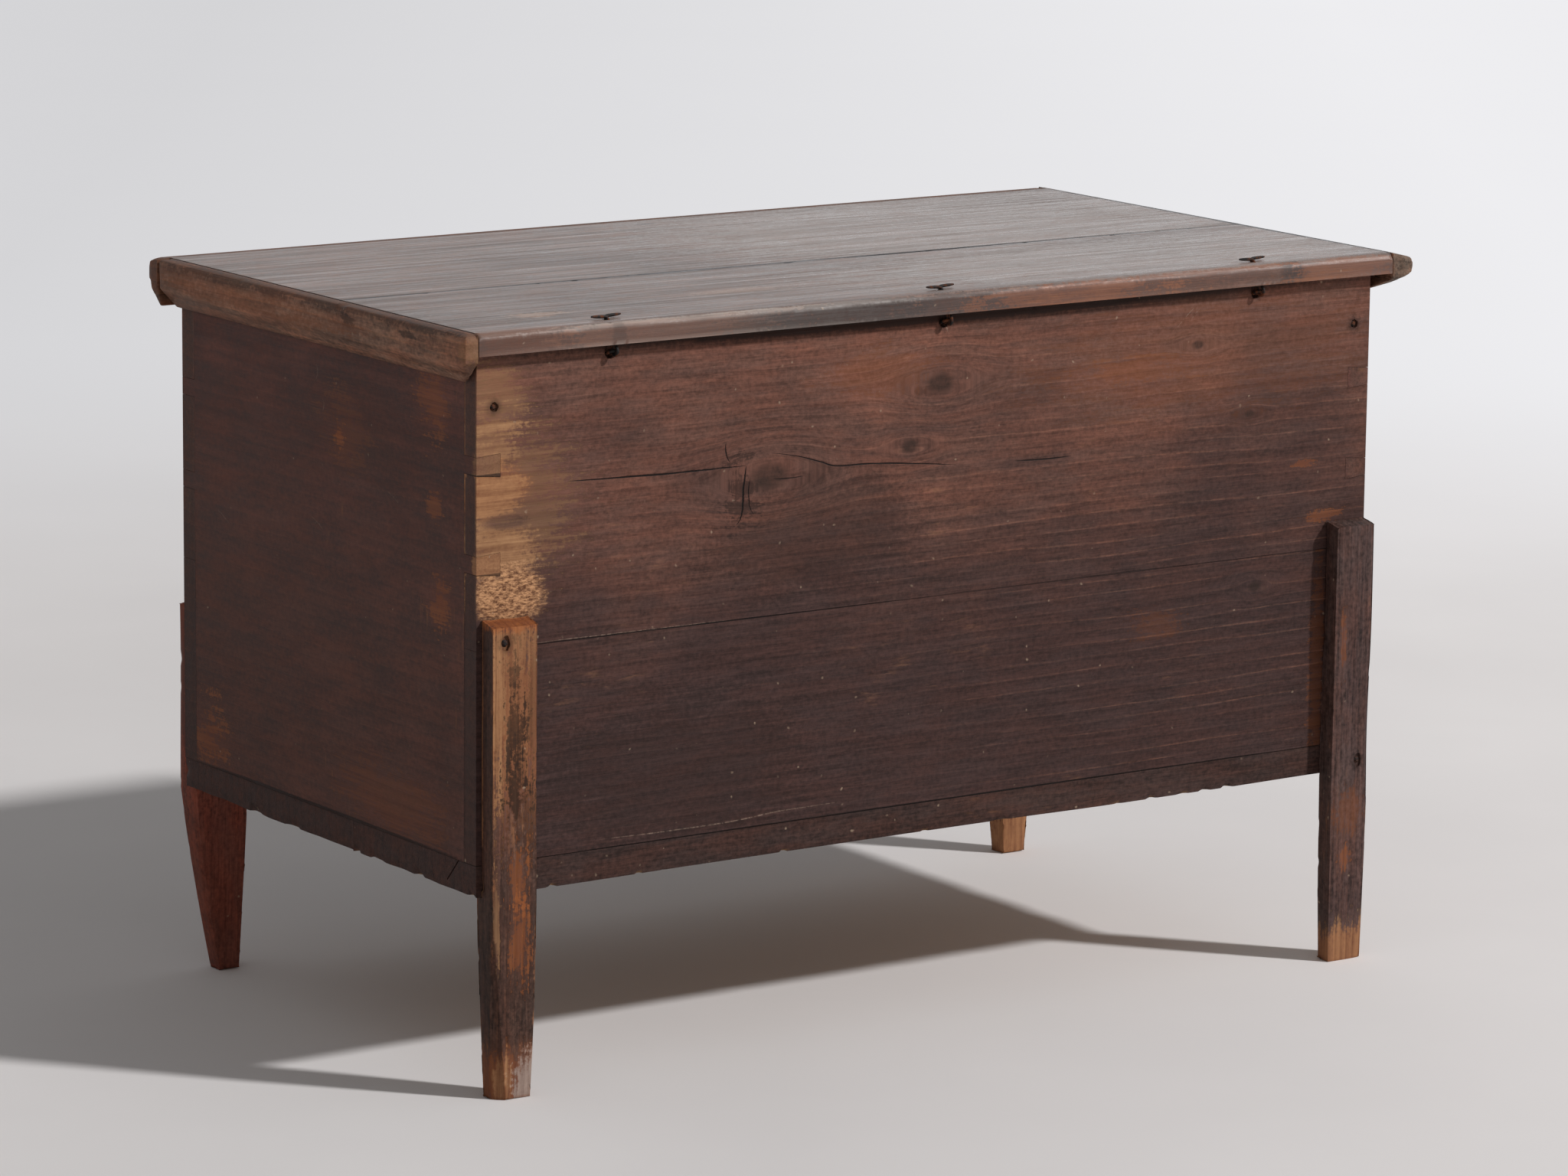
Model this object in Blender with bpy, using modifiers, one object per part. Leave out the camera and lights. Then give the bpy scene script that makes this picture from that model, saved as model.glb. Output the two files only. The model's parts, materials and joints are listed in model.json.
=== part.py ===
"""Pine chest on four notched legs, with a two-board lid on three snipe hinges.

X runs along the length, Y from the front to the back, Z up from the floor, all in metres.
Right is +X and left is -X, as seen from the front.
"""

import math
from collections import namedtuple

import bmesh
import bpy
from mathutils import Matrix, Vector

FIT = 0.0003  # gap between pieces that touch
OVERCUT = 0.01  # how far a cutter runs past the face it opens

# Box
BODY_LENGTH = 0.990
BODY_DEPTH = 0.520
LEG_CLEAR = 0.181  # floor to the underside of the bottom
BOTTOM_T = 0.028
WALL_H = 0.451
FRONT_T = 0.022
BACK_T = 0.020
END_T = 0.024
LOWER_BOARD_H = 0.191  # width of the lower wall boards; the upper ones take the rest
BOTTOM_BACK_W = 0.210  # width of the back bottom board; the front one takes the rest

# Corner pins, measured down from the top of the wall to the middle of each pin
PIN_NARROW = 0.016
PIN_WIDE = 0.020
PIN_UPPER_DROP = 0.098
PIN_LOWER_DROP = 0.185

# Lid
LID_T = 0.020
LID_OVER_BACK = 0.014
LID_OVER_FRONT = 0.010
LID_OVER_RIGHT = 0.006
LID_OVER_LEFT = 0.015
LID_BACK_W = 0.234
LID_NOSE_R = 0.007  # worn round on the top of the lid's back edge
CLEAT_RIGHT_T = 0.0145
CLEAT_RIGHT_H = 0.046
CLEAT_RIGHT_FACE = 0.028  # upright part of its face
CLEAT_RIGHT_ROUND = 0.0025
CLEAT_RIGHT_FALL = 0.0
CLEAT_LEFT_T = 0.026
CLEAT_LEFT_H = 0.038
CLEAT_LEFT_FACE = 0.021
CLEAT_LEFT_ROUND = 0.008
CLEAT_LEFT_FALL = 0.0042  # its top leans out and down
STRIP_T = 0.020
STRIP_H = 0.044
STRIP_FACE = 0.022
STRIP_ROUND = 0.011
STRIP_FALL = 0.0
EDGING_UNDER = 0.026  # from the lid's top to where an edging turns in under the boards
LIP_T = 0.002
LIP_CLEAR = 0.0025  # lip to wall
CLEAT_HEEL = 0.026  # length sawn off the back lower corner of a cleat

# Legs: four hand-hewn posts, each with its own width, distance in from the end of the box, shoulder
# under the box, height, wood hewn off by the foot on each of its four sides, and chamfer at the foot
# Back right leg
BR_LEG_W = 0.0475
BR_LEG_INSET = 0.0050
BR_LEG_SHOULDER = 0.0095
BR_LEG_TOP = 0.428
BR_LEG_OFF_OUT = 0.0030
BR_LEG_OFF_IN = 0.0075
BR_LEG_OFF_FACE = 0.0
BR_LEG_OFF_HEEL = 0.0065
BR_LEG_CHAMFER = 0.0110

# Back left leg, with no shoulder
BL_LEG_W = 0.0455
BL_LEG_INSET = 0.0015
BL_LEG_SHOULDER = 0.0
BL_LEG_TOP = 0.428
BL_LEG_OFF_OUT = 0.0015
BL_LEG_OFF_IN = 0.0020
BL_LEG_OFF_FACE = 0.0
BL_LEG_OFF_HEEL = 0.0
BL_LEG_CHAMFER = 0.0030

# Front right leg
FR_LEG_W = 0.0560
FR_LEG_INSET = 0.0045
FR_LEG_SHOULDER = 0.0125
FR_LEG_TOP = 0.358
FR_LEG_OFF_OUT = 0.0260
FR_LEG_OFF_IN = 0.0075
FR_LEG_OFF_FACE = 0.0040
FR_LEG_OFF_HEEL = 0.0040
FR_LEG_CHAMFER = 0.0060

# Front left leg
FL_LEG_W = 0.0470
FL_LEG_INSET = 0.0045
FL_LEG_SHOULDER = 0.0145
FL_LEG_TOP = 0.358
FL_LEG_OFF_OUT = 0.0120
FL_LEG_OFF_IN = 0.0070
FL_LEG_OFF_FACE = 0.0110
FL_LEG_OFF_HEEL = 0.0015
FL_LEG_CHAMFER = 0.0040

# All legs
LEG_PROUD = 0.019
LEG_TOP_SLOPE = 0.005
HEW = 1.4  # how a taper gathers towards the foot; 1 is a straight line
HEW_STEPS = 5
HEW_START = 0.002  # below the box's underside

# Snipe hinges
HINGE_IN = 0.137  # from each end of the box to its outer hinge; the third is in the middle
WIRE_R = 0.0016
EYE_R = 0.0040
AXIS_OUT = 0.0067  # hinge axis behind the back board
AXIS_DOWN = 0.0062  # hinge axis below the top of the wall
SHANK_START = 0.0092  # from the eye's centre to where the two wires meet
LOWER_SLOPE = math.radians(20)
UPPER_SLOPE = math.radians(62)
PRONG_LEN = 0.017
PRONG_BEND = 0.0030
PRONG_LIFT = 0.0008  # how far a bent-over point springs off the wood

# Nails
NAIL_R = 0.0016
NAIL_TIP_R = 0.0008
NAIL_HEAD_R = 0.0036
NAIL_HEAD_T = 0.0014
NAIL_SET = 0.0008  # depth of a head below the wood
NAIL_BITE = 0.026  # length in the piece that it holds to
CORNER_NAIL_IN = 0.018  # from the end of the wall board
CORNER_NAIL_DOWN = 0.047
LEG_NAIL_IN = 0.0135  # from the leg's outer side
LEG_NAIL_DOWN = 0.019  # from the top of the leg
LEG_NAIL_MID = 0.116  # height of the middle nail above the bottom board's underside
BOTTOM_NAIL_EDGE = 0.060
BOTTOM_NAIL_IN = 0.255  # from the end of a long wall
CLEAT_NAIL_FRONT = 0.080
CLEAT_NAIL_JOINT = 0.040
CLEAT_NAIL_BACK = 0.090
STRIP_NAIL_IN = 0.085  # from the end of the lid boards to the first nail of the strip
STRIP_NAILS = 4

# Places that follow from the sizes; the origin is under the middle of the whole
LEFT_REACH = LID_OVER_LEFT + CLEAT_LEFT_T
RIGHT_REACH = LID_OVER_RIGHT + CLEAT_RIGHT_T
FRONT_REACH = LID_OVER_FRONT + STRIP_T
BACK_REACH = LEG_PROUD + FIT
BODY_X = (LEFT_REACH - RIGHT_REACH) / 2
BODY_Y = (FRONT_REACH - BACK_REACH) / 2
X_LEFT = BODY_X - BODY_LENGTH / 2
X_RIGHT = BODY_X + BODY_LENGTH / 2
Y_FRONT = BODY_Y - BODY_DEPTH / 2
Y_BACK = BODY_Y + BODY_DEPTH / 2
Z_WALL = LEG_CLEAR + BOTTOM_T + FIT
Z_TOP = Z_WALL + WALL_H
Z_JOINT = Z_WALL + LOWER_BOARD_H
Z_LID = Z_TOP + FIT
Z_LID_TOP = Z_LID + LID_T
LID_X0 = X_LEFT - LID_OVER_LEFT
LID_X1 = X_RIGHT + LID_OVER_RIGHT
LID_Y0 = Y_FRONT - LID_OVER_FRONT
LID_Y1 = Y_BACK + LID_OVER_BACK
LID_JOINT = LID_Y1 - LID_BACK_W
BOTTOM_JOINT = Y_BACK - BOTTOM_BACK_W
WIRE_SPREAD = WIRE_R + FIT / 2  # from a shank's middle to each of its two wires
AXIS = Vector((BODY_X, Y_BACK + AXIS_OUT, Z_TOP - AXIS_DOWN))

LegCut = namedtuple("LegCut", "width inset shoulder top off_out off_in off_face off_heel chamfer")
LEG_CUTS = {
    ("back", "right"): LegCut(
        BR_LEG_W, BR_LEG_INSET, BR_LEG_SHOULDER, BR_LEG_TOP,
        BR_LEG_OFF_OUT, BR_LEG_OFF_IN, BR_LEG_OFF_FACE, BR_LEG_OFF_HEEL, BR_LEG_CHAMFER,
    ),
    ("back", "left"): LegCut(
        BL_LEG_W, BL_LEG_INSET, BL_LEG_SHOULDER, BL_LEG_TOP,
        BL_LEG_OFF_OUT, BL_LEG_OFF_IN, BL_LEG_OFF_FACE, BL_LEG_OFF_HEEL, BL_LEG_CHAMFER,
    ),
    ("front", "right"): LegCut(
        FR_LEG_W, FR_LEG_INSET, FR_LEG_SHOULDER, FR_LEG_TOP,
        FR_LEG_OFF_OUT, FR_LEG_OFF_IN, FR_LEG_OFF_FACE, FR_LEG_OFF_HEEL, FR_LEG_CHAMFER,
    ),
    ("front", "left"): LegCut(
        FL_LEG_W, FL_LEG_INSET, FL_LEG_SHOULDER, FL_LEG_TOP,
        FL_LEG_OFF_OUT, FL_LEG_OFF_IN, FL_LEG_OFF_FACE, FL_LEG_OFF_HEEL, FL_LEG_CHAMFER,
    ),
}

# Colour, roughness and metallic value of each kind of surface
STAINED = ((0.105, 0.048, 0.032), 0.55, 0.0)
SHADED = ((0.060, 0.030, 0.022), 0.6, 0.0)
LID_TOP = ((0.170, 0.120, 0.095), 0.45, 0.0)
WORN = ((0.330, 0.170, 0.080), 0.65, 0.0)
BARE = ((0.220, 0.130, 0.080), 0.75, 0.0)
IRON = ((0.025, 0.021, 0.019), 0.55, 0.9)


def clear_scene():
    """Empty the scene and make the collections for the pieces and the cutters."""
    for old in list(bpy.data.objects):
        bpy.data.objects.remove(old, do_unlink=True)
    made = []
    for name in ("wedding_chest", "cutters"):
        group = bpy.data.collections.new(name)
        bpy.context.scene.collection.children.link(group)
        made.append(group)
    return made


PARTS, CUTTERS = clear_scene()


def add_empty(name, location):
    """A point that pieces hang from."""
    empty = bpy.data.objects.new(name, None)
    empty.location = location
    empty.empty_display_size = 0.05
    PARTS.objects.link(empty)
    bpy.context.view_layer.update()
    return empty


BODY = add_empty("body_frame", (0, 0, 0))
LID = add_empty("lid_hinge_axis", AXIS)


def add_part(name, mesh, matrix, look, parent):
    """A named piece with its own material, hung from the body or the lid."""
    colour, roughness, metallic = look
    surface = bpy.data.materials.new(name)
    surface.use_nodes = True
    shader = surface.node_tree.nodes["Principled BSDF"]
    shader.inputs["Base Color"].default_value = (*colour, 1)
    shader.inputs["Roughness"].default_value = roughness
    shader.inputs["Metallic"].default_value = metallic
    part = bpy.data.objects.new(name, mesh)
    PARTS.objects.link(part)
    part.parent = parent
    part.matrix_parent_inverse = parent.matrix_world.inverted()
    part.matrix_basis = matrix
    if not mesh.materials:
        mesh.materials.append(surface)
    part.material_slots[0].link = "OBJECT"
    part.material_slots[0].material = surface
    return part


def add_cutter(name, mesh, matrix):
    """A hidden solid that other pieces are cut with."""
    cutter = bpy.data.objects.new(name, mesh)
    CUTTERS.objects.link(cutter)
    cutter.matrix_world = matrix
    cutter.hide_render = True
    cutter.display_type = "WIRE"
    return cutter


def cut(part, cutter):
    """Take a cutter's shape out of a piece."""
    step = part.modifiers.new(cutter.name, "BOOLEAN")
    step.operation = "DIFFERENCE"
    step.solver = "EXACT"
    step.object = cutter


def block_mesh(name, low, high):
    """A box between two corners, as a mesh about its middle, and the place of that middle."""
    low, high = Vector(low), Vector(high)
    bm = bmesh.new()
    bmesh.ops.create_cube(bm, size=1.0)
    bmesh.ops.scale(bm, vec=high - low, verts=bm.verts)
    mesh = bpy.data.meshes.new(name)
    bm.to_mesh(mesh)
    bm.free()
    return mesh, Matrix.Translation((low + high) / 2)


def board(name, low, high, look, parent):
    """A sawn board between two corners."""
    mesh, place = block_mesh(name, low, high)
    return add_part(name, mesh, place, look, parent)


def mesh_of_curve(name, curve, matrix):
    """The closed mesh of a curve object."""
    guide = bpy.data.objects.new(name, curve)
    PARTS.objects.link(guide)
    guide.matrix_world = matrix
    bpy.context.view_layer.update()
    graph = bpy.context.evaluated_depsgraph_get()
    mesh = bpy.data.meshes.new_from_object(guide.evaluated_get(graph))
    bpy.data.objects.remove(guide, do_unlink=True)
    mesh.name = name
    bm = bmesh.new()
    bm.from_mesh(mesh)
    bmesh.ops.remove_doubles(bm, verts=bm.verts, dist=0.00001)
    bmesh.ops.recalc_face_normals(bm, faces=bm.faces)
    bm.to_mesh(mesh)
    bm.free()
    return mesh


ALONG_X = Matrix(((0, 0, 1), (1, 0, 0), (0, 1, 0))).to_4x4()  # an outline of Y and Z, run along X
ALONG_Y = Matrix(((1, 0, 0), (0, 0, -1), (0, 1, 0))).to_4x4()  # an outline of X and Z, run along Y
ALONG_Z = Matrix.Identity(4)  # an outline of X and Y, run along Z


def outline_mesh(name, outline, thickness):
    """A flat outline given a thickness, about the plane it is drawn in."""
    curve = bpy.data.curves.new(name, "CURVE")
    curve.dimensions = "2D"
    curve.fill_mode = "BOTH"
    curve.extrude = thickness / 2
    spline = curve.splines.new("POLY")
    spline.points.add(len(outline) - 1)
    for point, (u, v) in zip(spline.points, outline):
        point.co = (u, v, 0, 1)
    spline.use_cyclic_u = True
    return mesh_of_curve(name, curve, Matrix.Identity(4))


def turned_mesh(name, profile, steps=8):
    """A profile of radius and height, listed from the top down its outer side, turned about Z."""
    mesh = bpy.data.meshes.new(name)
    bm = bmesh.new()
    points = [bm.verts.new((radius, 0, height)) for radius, height in profile]
    for first, second in zip(points, points[1:]):
        bm.edges.new((first, second))
    bm.to_mesh(mesh)
    bm.free()
    guide = bpy.data.objects.new(name, mesh)
    PARTS.objects.link(guide)
    turn = guide.modifiers.new("turn", "SCREW")
    turn.steps = steps
    turn.render_steps = steps
    turn.use_merge_vertices = True
    turn.merge_threshold = 0.00001
    bpy.context.view_layer.update()
    graph = bpy.context.evaluated_depsgraph_get()
    turned = bpy.data.meshes.new_from_object(guide.evaluated_get(graph))
    bpy.data.objects.remove(guide, do_unlink=True)
    turned.name = name
    bm = bmesh.new()
    bm.from_mesh(turned)
    bmesh.ops.remove_doubles(bm, verts=bm.verts, dist=0.00001)
    bmesh.ops.recalc_face_normals(bm, faces=bm.faces)
    bm.to_mesh(turned)
    bm.free()
    return turned


def pointing(origin, direction):
    """Stand at a point with Z along a direction."""
    turn = Vector(direction).to_track_quat("Z", "Y").to_matrix().to_4x4()
    return Matrix.Translation(origin) @ turn


def nail(name, face_point, inward, length, pieces, parent):
    """A nail with its head set just below the face, and its hole through each piece it passes."""
    top = -NAIL_SET
    neck = top - NAIL_HEAD_T
    tip = neck - length
    shape = [
        (0, top),
        (NAIL_HEAD_R * 0.6, top),
        (NAIL_HEAD_R, neck + NAIL_HEAD_T * 0.4),
        (NAIL_HEAD_R, neck),
        (NAIL_R, neck),
        (NAIL_TIP_R, tip),
        (0, tip),
    ]
    hole = [
        (0, OVERCUT),
        (NAIL_HEAD_R + FIT, OVERCUT),
        (NAIL_HEAD_R + FIT, neck - FIT),
        (NAIL_R + FIT, neck - FIT),
        (NAIL_TIP_R + FIT, tip - FIT),
        (0, tip - FIT),
    ]
    place = pointing(face_point, -Vector(inward))
    cutter = add_cutter(name + "_hole", turned_mesh(name + "_hole", hole), place)
    for piece in pieces:
        cut(piece, cutter)
    return add_part(name, turned_mesh(name, shape), place, IRON, parent)


def pin_half(depth):
    """Half the width of a corner pin at a depth in from the end of the wall."""
    return (PIN_NARROW + (PIN_WIDE - PIN_NARROW) * depth / END_T) / 2


def pin_heights():
    """Heights of the corner pins' middles, from the top down."""
    return [Z_TOP - PIN_UPPER_DROP, Z_TOP - PIN_LOWER_DROP]


def wall_boards(side, face, inner, look):
    """The upper and lower board of the front or the back, with sockets for the end boards' pins."""
    low_y, high_y = min(face, inner), max(face, inner)
    lower = board(
        side + "_lower_board", (X_LEFT, low_y, Z_WALL), (X_RIGHT, high_y, Z_JOINT - FIT), look, BODY
    )
    upper = board(side + "_upper_board", (X_LEFT, low_y, Z_JOINT), (X_RIGHT, high_y, Z_TOP), look, BODY)
    for end, x_end, inward in (("right", X_RIGHT, -1), ("left", X_LEFT, 1)):
        for number, height in enumerate(pin_heights()):
            near, far = -OVERCUT, END_T + FIT
            outline = [
                (x_end + inward * near, height - pin_half(near) - FIT),
                (x_end + inward * far, height - pin_half(far) - FIT),
                (x_end + inward * far, height + pin_half(far) + FIT),
                (x_end + inward * near, height + pin_half(near) + FIT),
            ]
            name = f"{side}_{end}_socket_{number}"
            mesh = outline_mesh(name, outline, high_y - low_y + 2 * OVERCUT)
            place = Matrix.Translation((0, (low_y + high_y) / 2, 0)) @ ALONG_Y
            cut(upper, add_cutter(name, mesh, place))
    return upper, lower


def pin_waste(name, end_board, x_end, inward, y_base, outward):
    """Saw the waste from between the pins on one edge of an end board."""
    near, far = -OVERCUT, END_T + OVERCUT
    edges = [Z_TOP + OVERCUT]
    for height in pin_heights():
        edges += [height, height]
    edges.append(Z_WALL - OVERCUT)
    for number in range(0, len(edges), 2):
        above, below = edges[number], edges[number + 1]
        top_pin = number > 0
        low_pin = number + 2 < len(edges)
        outline = [
            (x_end + inward * near, above - (pin_half(near) if top_pin else 0)),
            (x_end + inward * far, above - (pin_half(far) if top_pin else 0)),
            (x_end + inward * far, below + (pin_half(far) if low_pin else 0)),
            (x_end + inward * near, below + (pin_half(near) if low_pin else 0)),
        ]
        reach = max(FRONT_T, BACK_T) + OVERCUT
        mesh = outline_mesh(f"{name}_{number}", outline, reach)
        place = Matrix.Translation((0, y_base + outward * reach / 2, 0)) @ ALONG_Y
        cut(end_board, add_cutter(f"{name}_{number}", mesh, place))


def end_board(end, x_end, inward):
    """An end board the full depth of the chest, cut back to two pins on each edge."""
    x_inner = x_end + inward * END_T
    low = (min(x_end, x_inner), Y_FRONT, Z_WALL)
    high = (max(x_end, x_inner), Y_BACK, Z_TOP)
    piece = board(end + "_end_board", low, high, SHADED, BODY)
    pin_waste(f"{end}_front_waste", piece, x_end, inward, Y_FRONT + FRONT_T + FIT, -1)
    pin_waste(f"{end}_back_waste", piece, x_end, inward, Y_BACK - BACK_T - FIT, 1)
    return piece


def bottom_boards():
    """Two boards under the walls, flush with them all round."""
    z_low, z_high = LEG_CLEAR, LEG_CLEAR + BOTTOM_T
    front = board(
        "bottom_front_board",
        (X_LEFT, Y_FRONT, z_low),
        (X_RIGHT, BOTTOM_JOINT - FIT / 2, z_high),
        SHADED,
        BODY,
    )
    back = board(
        "bottom_back_board",
        (X_LEFT, BOTTOM_JOINT + FIT / 2, z_low),
        (X_RIGHT, Y_BACK, z_high),
        STAINED,
        BODY,
    )
    return front, back


def lid_boards():
    """The two lid boards, the back one worn round along its back edge."""
    front = board(
        "lid_front_board",
        (LID_X0, LID_Y0, Z_LID),
        (LID_X1, LID_JOINT - FIT / 2, Z_LID_TOP),
        LID_TOP,
        LID,
    )
    outline = [(LID_JOINT + FIT / 2, Z_LID_TOP), (LID_JOINT + FIT / 2, Z_LID), (LID_Y1, Z_LID)]
    for step in range(5):
        angle = math.pi / 2 * step / 4
        outline.append(
            (
                LID_Y1 - LID_NOSE_R * (1 - math.cos(angle)),
                Z_LID_TOP - LID_NOSE_R * (1 - math.sin(angle)),
            )
        )
    mesh = outline_mesh("lid_back_board", outline, LID_X1 - LID_X0)
    place = Matrix.Translation(((LID_X0 + LID_X1) / 2, 0, 0)) @ ALONG_X
    back = add_part("lid_back_board", mesh, place, LID_TOP, LID)
    return front, back


def edging_outline(thickness, height, face, rounding, fall, over):
    """Section of an edging: out from the lid's edge and down from its top, ending in a thin lip."""
    inset = over - LIP_CLEAR
    section = [(FIT, 0)]
    for step in range(5):
        angle = math.pi / 2 * step / 4
        out = thickness - rounding * (1 - math.sin(angle))
        section.append((out, fall + rounding * (1 - math.cos(angle))))
    section += [
        (thickness, face),
        (-inset + LIP_T, height),
        (-inset, height),
        (-inset, height - LIP_T),
        (FIT, EDGING_UNDER),
    ]
    return section


def cleat_blank(end, x_edge, outward, section, y_low):
    """A cleat's section run along the lid's end, with its back lower corner sawn off."""
    outline = [(x_edge + outward * u, Z_LID_TOP - w) for u, w in section]
    height = max(w for _, w in section)
    name = f"lid_{end}_cleat"
    mesh = outline_mesh(name, outline, LID_Y1 - y_low)
    place = Matrix.Translation((0, (y_low + LID_Y1) / 2, 0)) @ ALONG_Y
    piece = add_part(name, mesh, place, STAINED, LID)
    heel = [
        (LID_Y1 - CLEAT_HEEL, Z_LID_TOP - height - OVERCUT),
        (LID_Y1 + OVERCUT, Z_LID_TOP - height - OVERCUT),
        (LID_Y1 + OVERCUT, Z_LID_TOP - EDGING_UNDER),
        (LID_Y1, Z_LID_TOP - EDGING_UNDER),
        (LID_Y1 - CLEAT_HEEL, Z_LID_TOP - height),
    ]
    heel_mesh = outline_mesh(name + "_heel", heel, 2 * (CLEAT_LEFT_T + LID_OVER_LEFT) + 2 * OVERCUT)
    cut(piece, add_cutter(name + "_heel", heel_mesh, Matrix.Translation((x_edge, 0, 0)) @ ALONG_X))
    return piece


def right_cleat():
    """The right cleat, which stops behind the front strip and is cut back to clear its lip."""
    section = edging_outline(
        CLEAT_RIGHT_T, CLEAT_RIGHT_H, CLEAT_RIGHT_FACE, CLEAT_RIGHT_ROUND, CLEAT_RIGHT_FALL, LID_OVER_RIGHT
    )
    piece = cleat_blank("right", LID_X1, 1, section, LID_Y0)
    inset = LID_OVER_FRONT - LIP_CLEAR
    slope = (STRIP_H - LIP_T - EDGING_UNDER) / (inset + FIT)
    shoulder = Z_LID_TOP - EDGING_UNDER + FIT / 2
    y_lip = LID_Y0 + inset + FIT
    toe = [
        (LID_Y0 - OVERCUT, shoulder + OVERCUT * slope),
        (LID_Y0 - OVERCUT, Z_LID_TOP - CLEAT_RIGHT_H - OVERCUT),
        (y_lip, Z_LID_TOP - CLEAT_RIGHT_H - OVERCUT),
        (y_lip, shoulder - (y_lip - LID_Y0) * slope),
    ]
    mesh = outline_mesh("lid_right_cleat_toe", toe, 2 * (RIGHT_REACH + OVERCUT))
    cut(piece, add_cutter("lid_right_cleat_toe", mesh, Matrix.Translation((LID_X1, 0, 0)) @ ALONG_X))
    return piece


def left_cleat():
    """The left cleat, which runs on past the end of the front strip without its lip."""
    section = edging_outline(
        CLEAT_LEFT_T, CLEAT_LEFT_H, CLEAT_LEFT_FACE, CLEAT_LEFT_ROUND, CLEAT_LEFT_FALL, LID_OVER_LEFT
    )
    piece = cleat_blank("left", LID_X0, -1, section, LID_Y0 - STRIP_T)
    low = (LID_X0 - 2 * FIT, LID_Y0 - STRIP_T - OVERCUT, Z_LID_TOP - CLEAT_LEFT_H - OVERCUT)
    high = (X_LEFT + OVERCUT, LID_Y0 + LID_OVER_FRONT - LIP_CLEAR + FIT, Z_LID_TOP - LID_T - 2 * FIT)
    mesh, place = block_mesh("lid_left_cleat_toe", low, high)
    cut(piece, add_cutter("lid_left_cleat_toe", mesh, place))
    return piece


def lid_strip():
    """The edging along the lid's front, run past the right cleat and butted to the left one."""
    section = edging_outline(STRIP_T, STRIP_H, STRIP_FACE, STRIP_ROUND, STRIP_FALL, LID_OVER_FRONT)
    outline = [(LID_Y0 - u, Z_LID_TOP - w) for u, w in section]
    x_low, x_high = LID_X0, X_RIGHT + RIGHT_REACH
    mesh = outline_mesh("lid_front_strip", outline, x_high - x_low)
    place = Matrix.Translation(((x_low + x_high) / 2, 0, 0)) @ ALONG_X
    return add_part("lid_front_strip", mesh, place, STAINED, LID)


def hewn(depth, top):
    """Points down a hewn taper: height above the floor and wood taken off at that height."""
    points = []
    for step in range(HEW_STEPS + 1):
        height = top * (1 - step / HEW_STEPS)
        points.append((height, depth * (1 - height / top) ** HEW))
    return points


def leg_outline(face, outward, cut_sizes):
    """Side view of a leg: notched over the box, and hewn on its face and its heel below it."""
    seat = LEG_CLEAR - FIT
    outer = LEG_PROUD + FIT
    outline = [(face + outward * FIT, cut_sizes.top)]
    if cut_sizes.shoulder > 0:
        outline.append((face + outward * FIT, seat))
        for height, off in hewn(cut_sizes.off_heel, seat):
            outline.append((face - outward * (cut_sizes.shoulder - off), height))
    else:
        outline.append((face + outward * FIT, 0))
    for height, off in reversed(hewn(cut_sizes.off_face, seat)):
        outline.append((face + outward * (outer - off), height))
    outline.append((face + outward * outer, cut_sizes.top - LEG_TOP_SLOPE))
    return outline


def leg(side, end, x_end, inward, face, outward):
    """A post nailed outside the box, tapered below it, with its outer arris chamfered to the foot."""
    cut_sizes = LEG_CUTS[side, end]
    name = f"leg_{side}_{end}"
    seat = LEG_CLEAR - FIT
    x_out = x_end + inward * cut_sizes.inset
    x_in = x_out + inward * cut_sizes.width
    mesh = outline_mesh(name, leg_outline(face, outward, cut_sizes), cut_sizes.width)
    post = add_part(name, mesh, Matrix.Translation(((x_out + x_in) / 2, 0, 0)) @ ALONG_X, WORN, BODY)
    sides = (("out", x_out, inward, cut_sizes.off_out), ("in", x_in, -inward, cut_sizes.off_in))
    for label, x_side, way, depth in sides:
        wedge = [(x_side - way * OVERCUT, seat - HEW_START)]
        wedge += [(x_side + way * off, height) for height, off in hewn(depth, seat - HEW_START)]
        wedge.append((x_side + way * depth, -OVERCUT))
        wedge.append((x_side - way * OVERCUT, -OVERCUT))
        wedge_mesh = outline_mesh(f"{name}_taper_{label}", wedge, 4 * LEG_PROUD + 4 * OVERCUT)
        wedge_place = Matrix.Translation((0, face, 0)) @ ALONG_Y
        cut(post, add_cutter(f"{name}_taper_{label}", wedge_mesh, wedge_place))
    y_out = face + outward * (LEG_PROUD + FIT)
    foot = Vector((x_out + inward * cut_sizes.off_out, y_out - outward * cut_sizes.off_face, 0))
    head = Vector((x_out - inward * FIT, y_out + outward * FIT, seat))
    chamfer(post, name + "_chamfer", foot, head, Vector((-inward, outward, 0)), cut_sizes.chamfer)
    return post


def chamfer(piece, name, foot, head, out, size):
    """Shave an upright arris, from nothing at its head to a flat of the given size at its foot."""
    out = out.normalized()
    low = foot - out * (size / math.sqrt(2))
    along = (head - low).normalized()
    across = along.cross(out).normalized()
    normal = across.cross(along)
    length = (head - low).length + 4 * OVERCUT
    mesh, _ = block_mesh(name, (-0.5 * length, -0.5 * length, 0), (0.5 * length, 0.5 * length, 0.05))
    turn = Matrix((across, along, normal)).transposed()
    if turn.determinant() < 0:
        turn = Matrix((-across, along, normal)).transposed()
    middle = (low + head) / 2 + normal * 0.025
    cut(piece, add_cutter(name, mesh, Matrix.Translation(middle) @ turn.to_4x4()))


def eye_path():
    """One half of a pin's eye, from its far side to its shank: along the shank and across it."""
    start = math.radians(75)
    half = []
    for step in range(7):
        angle = math.pi - (math.pi - start) * step / 6
        half.append((EYE_R * math.cos(angle), EYE_R * math.sin(angle)))
    half.append((SHANK_START, WIRE_SPREAD))
    return half


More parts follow.
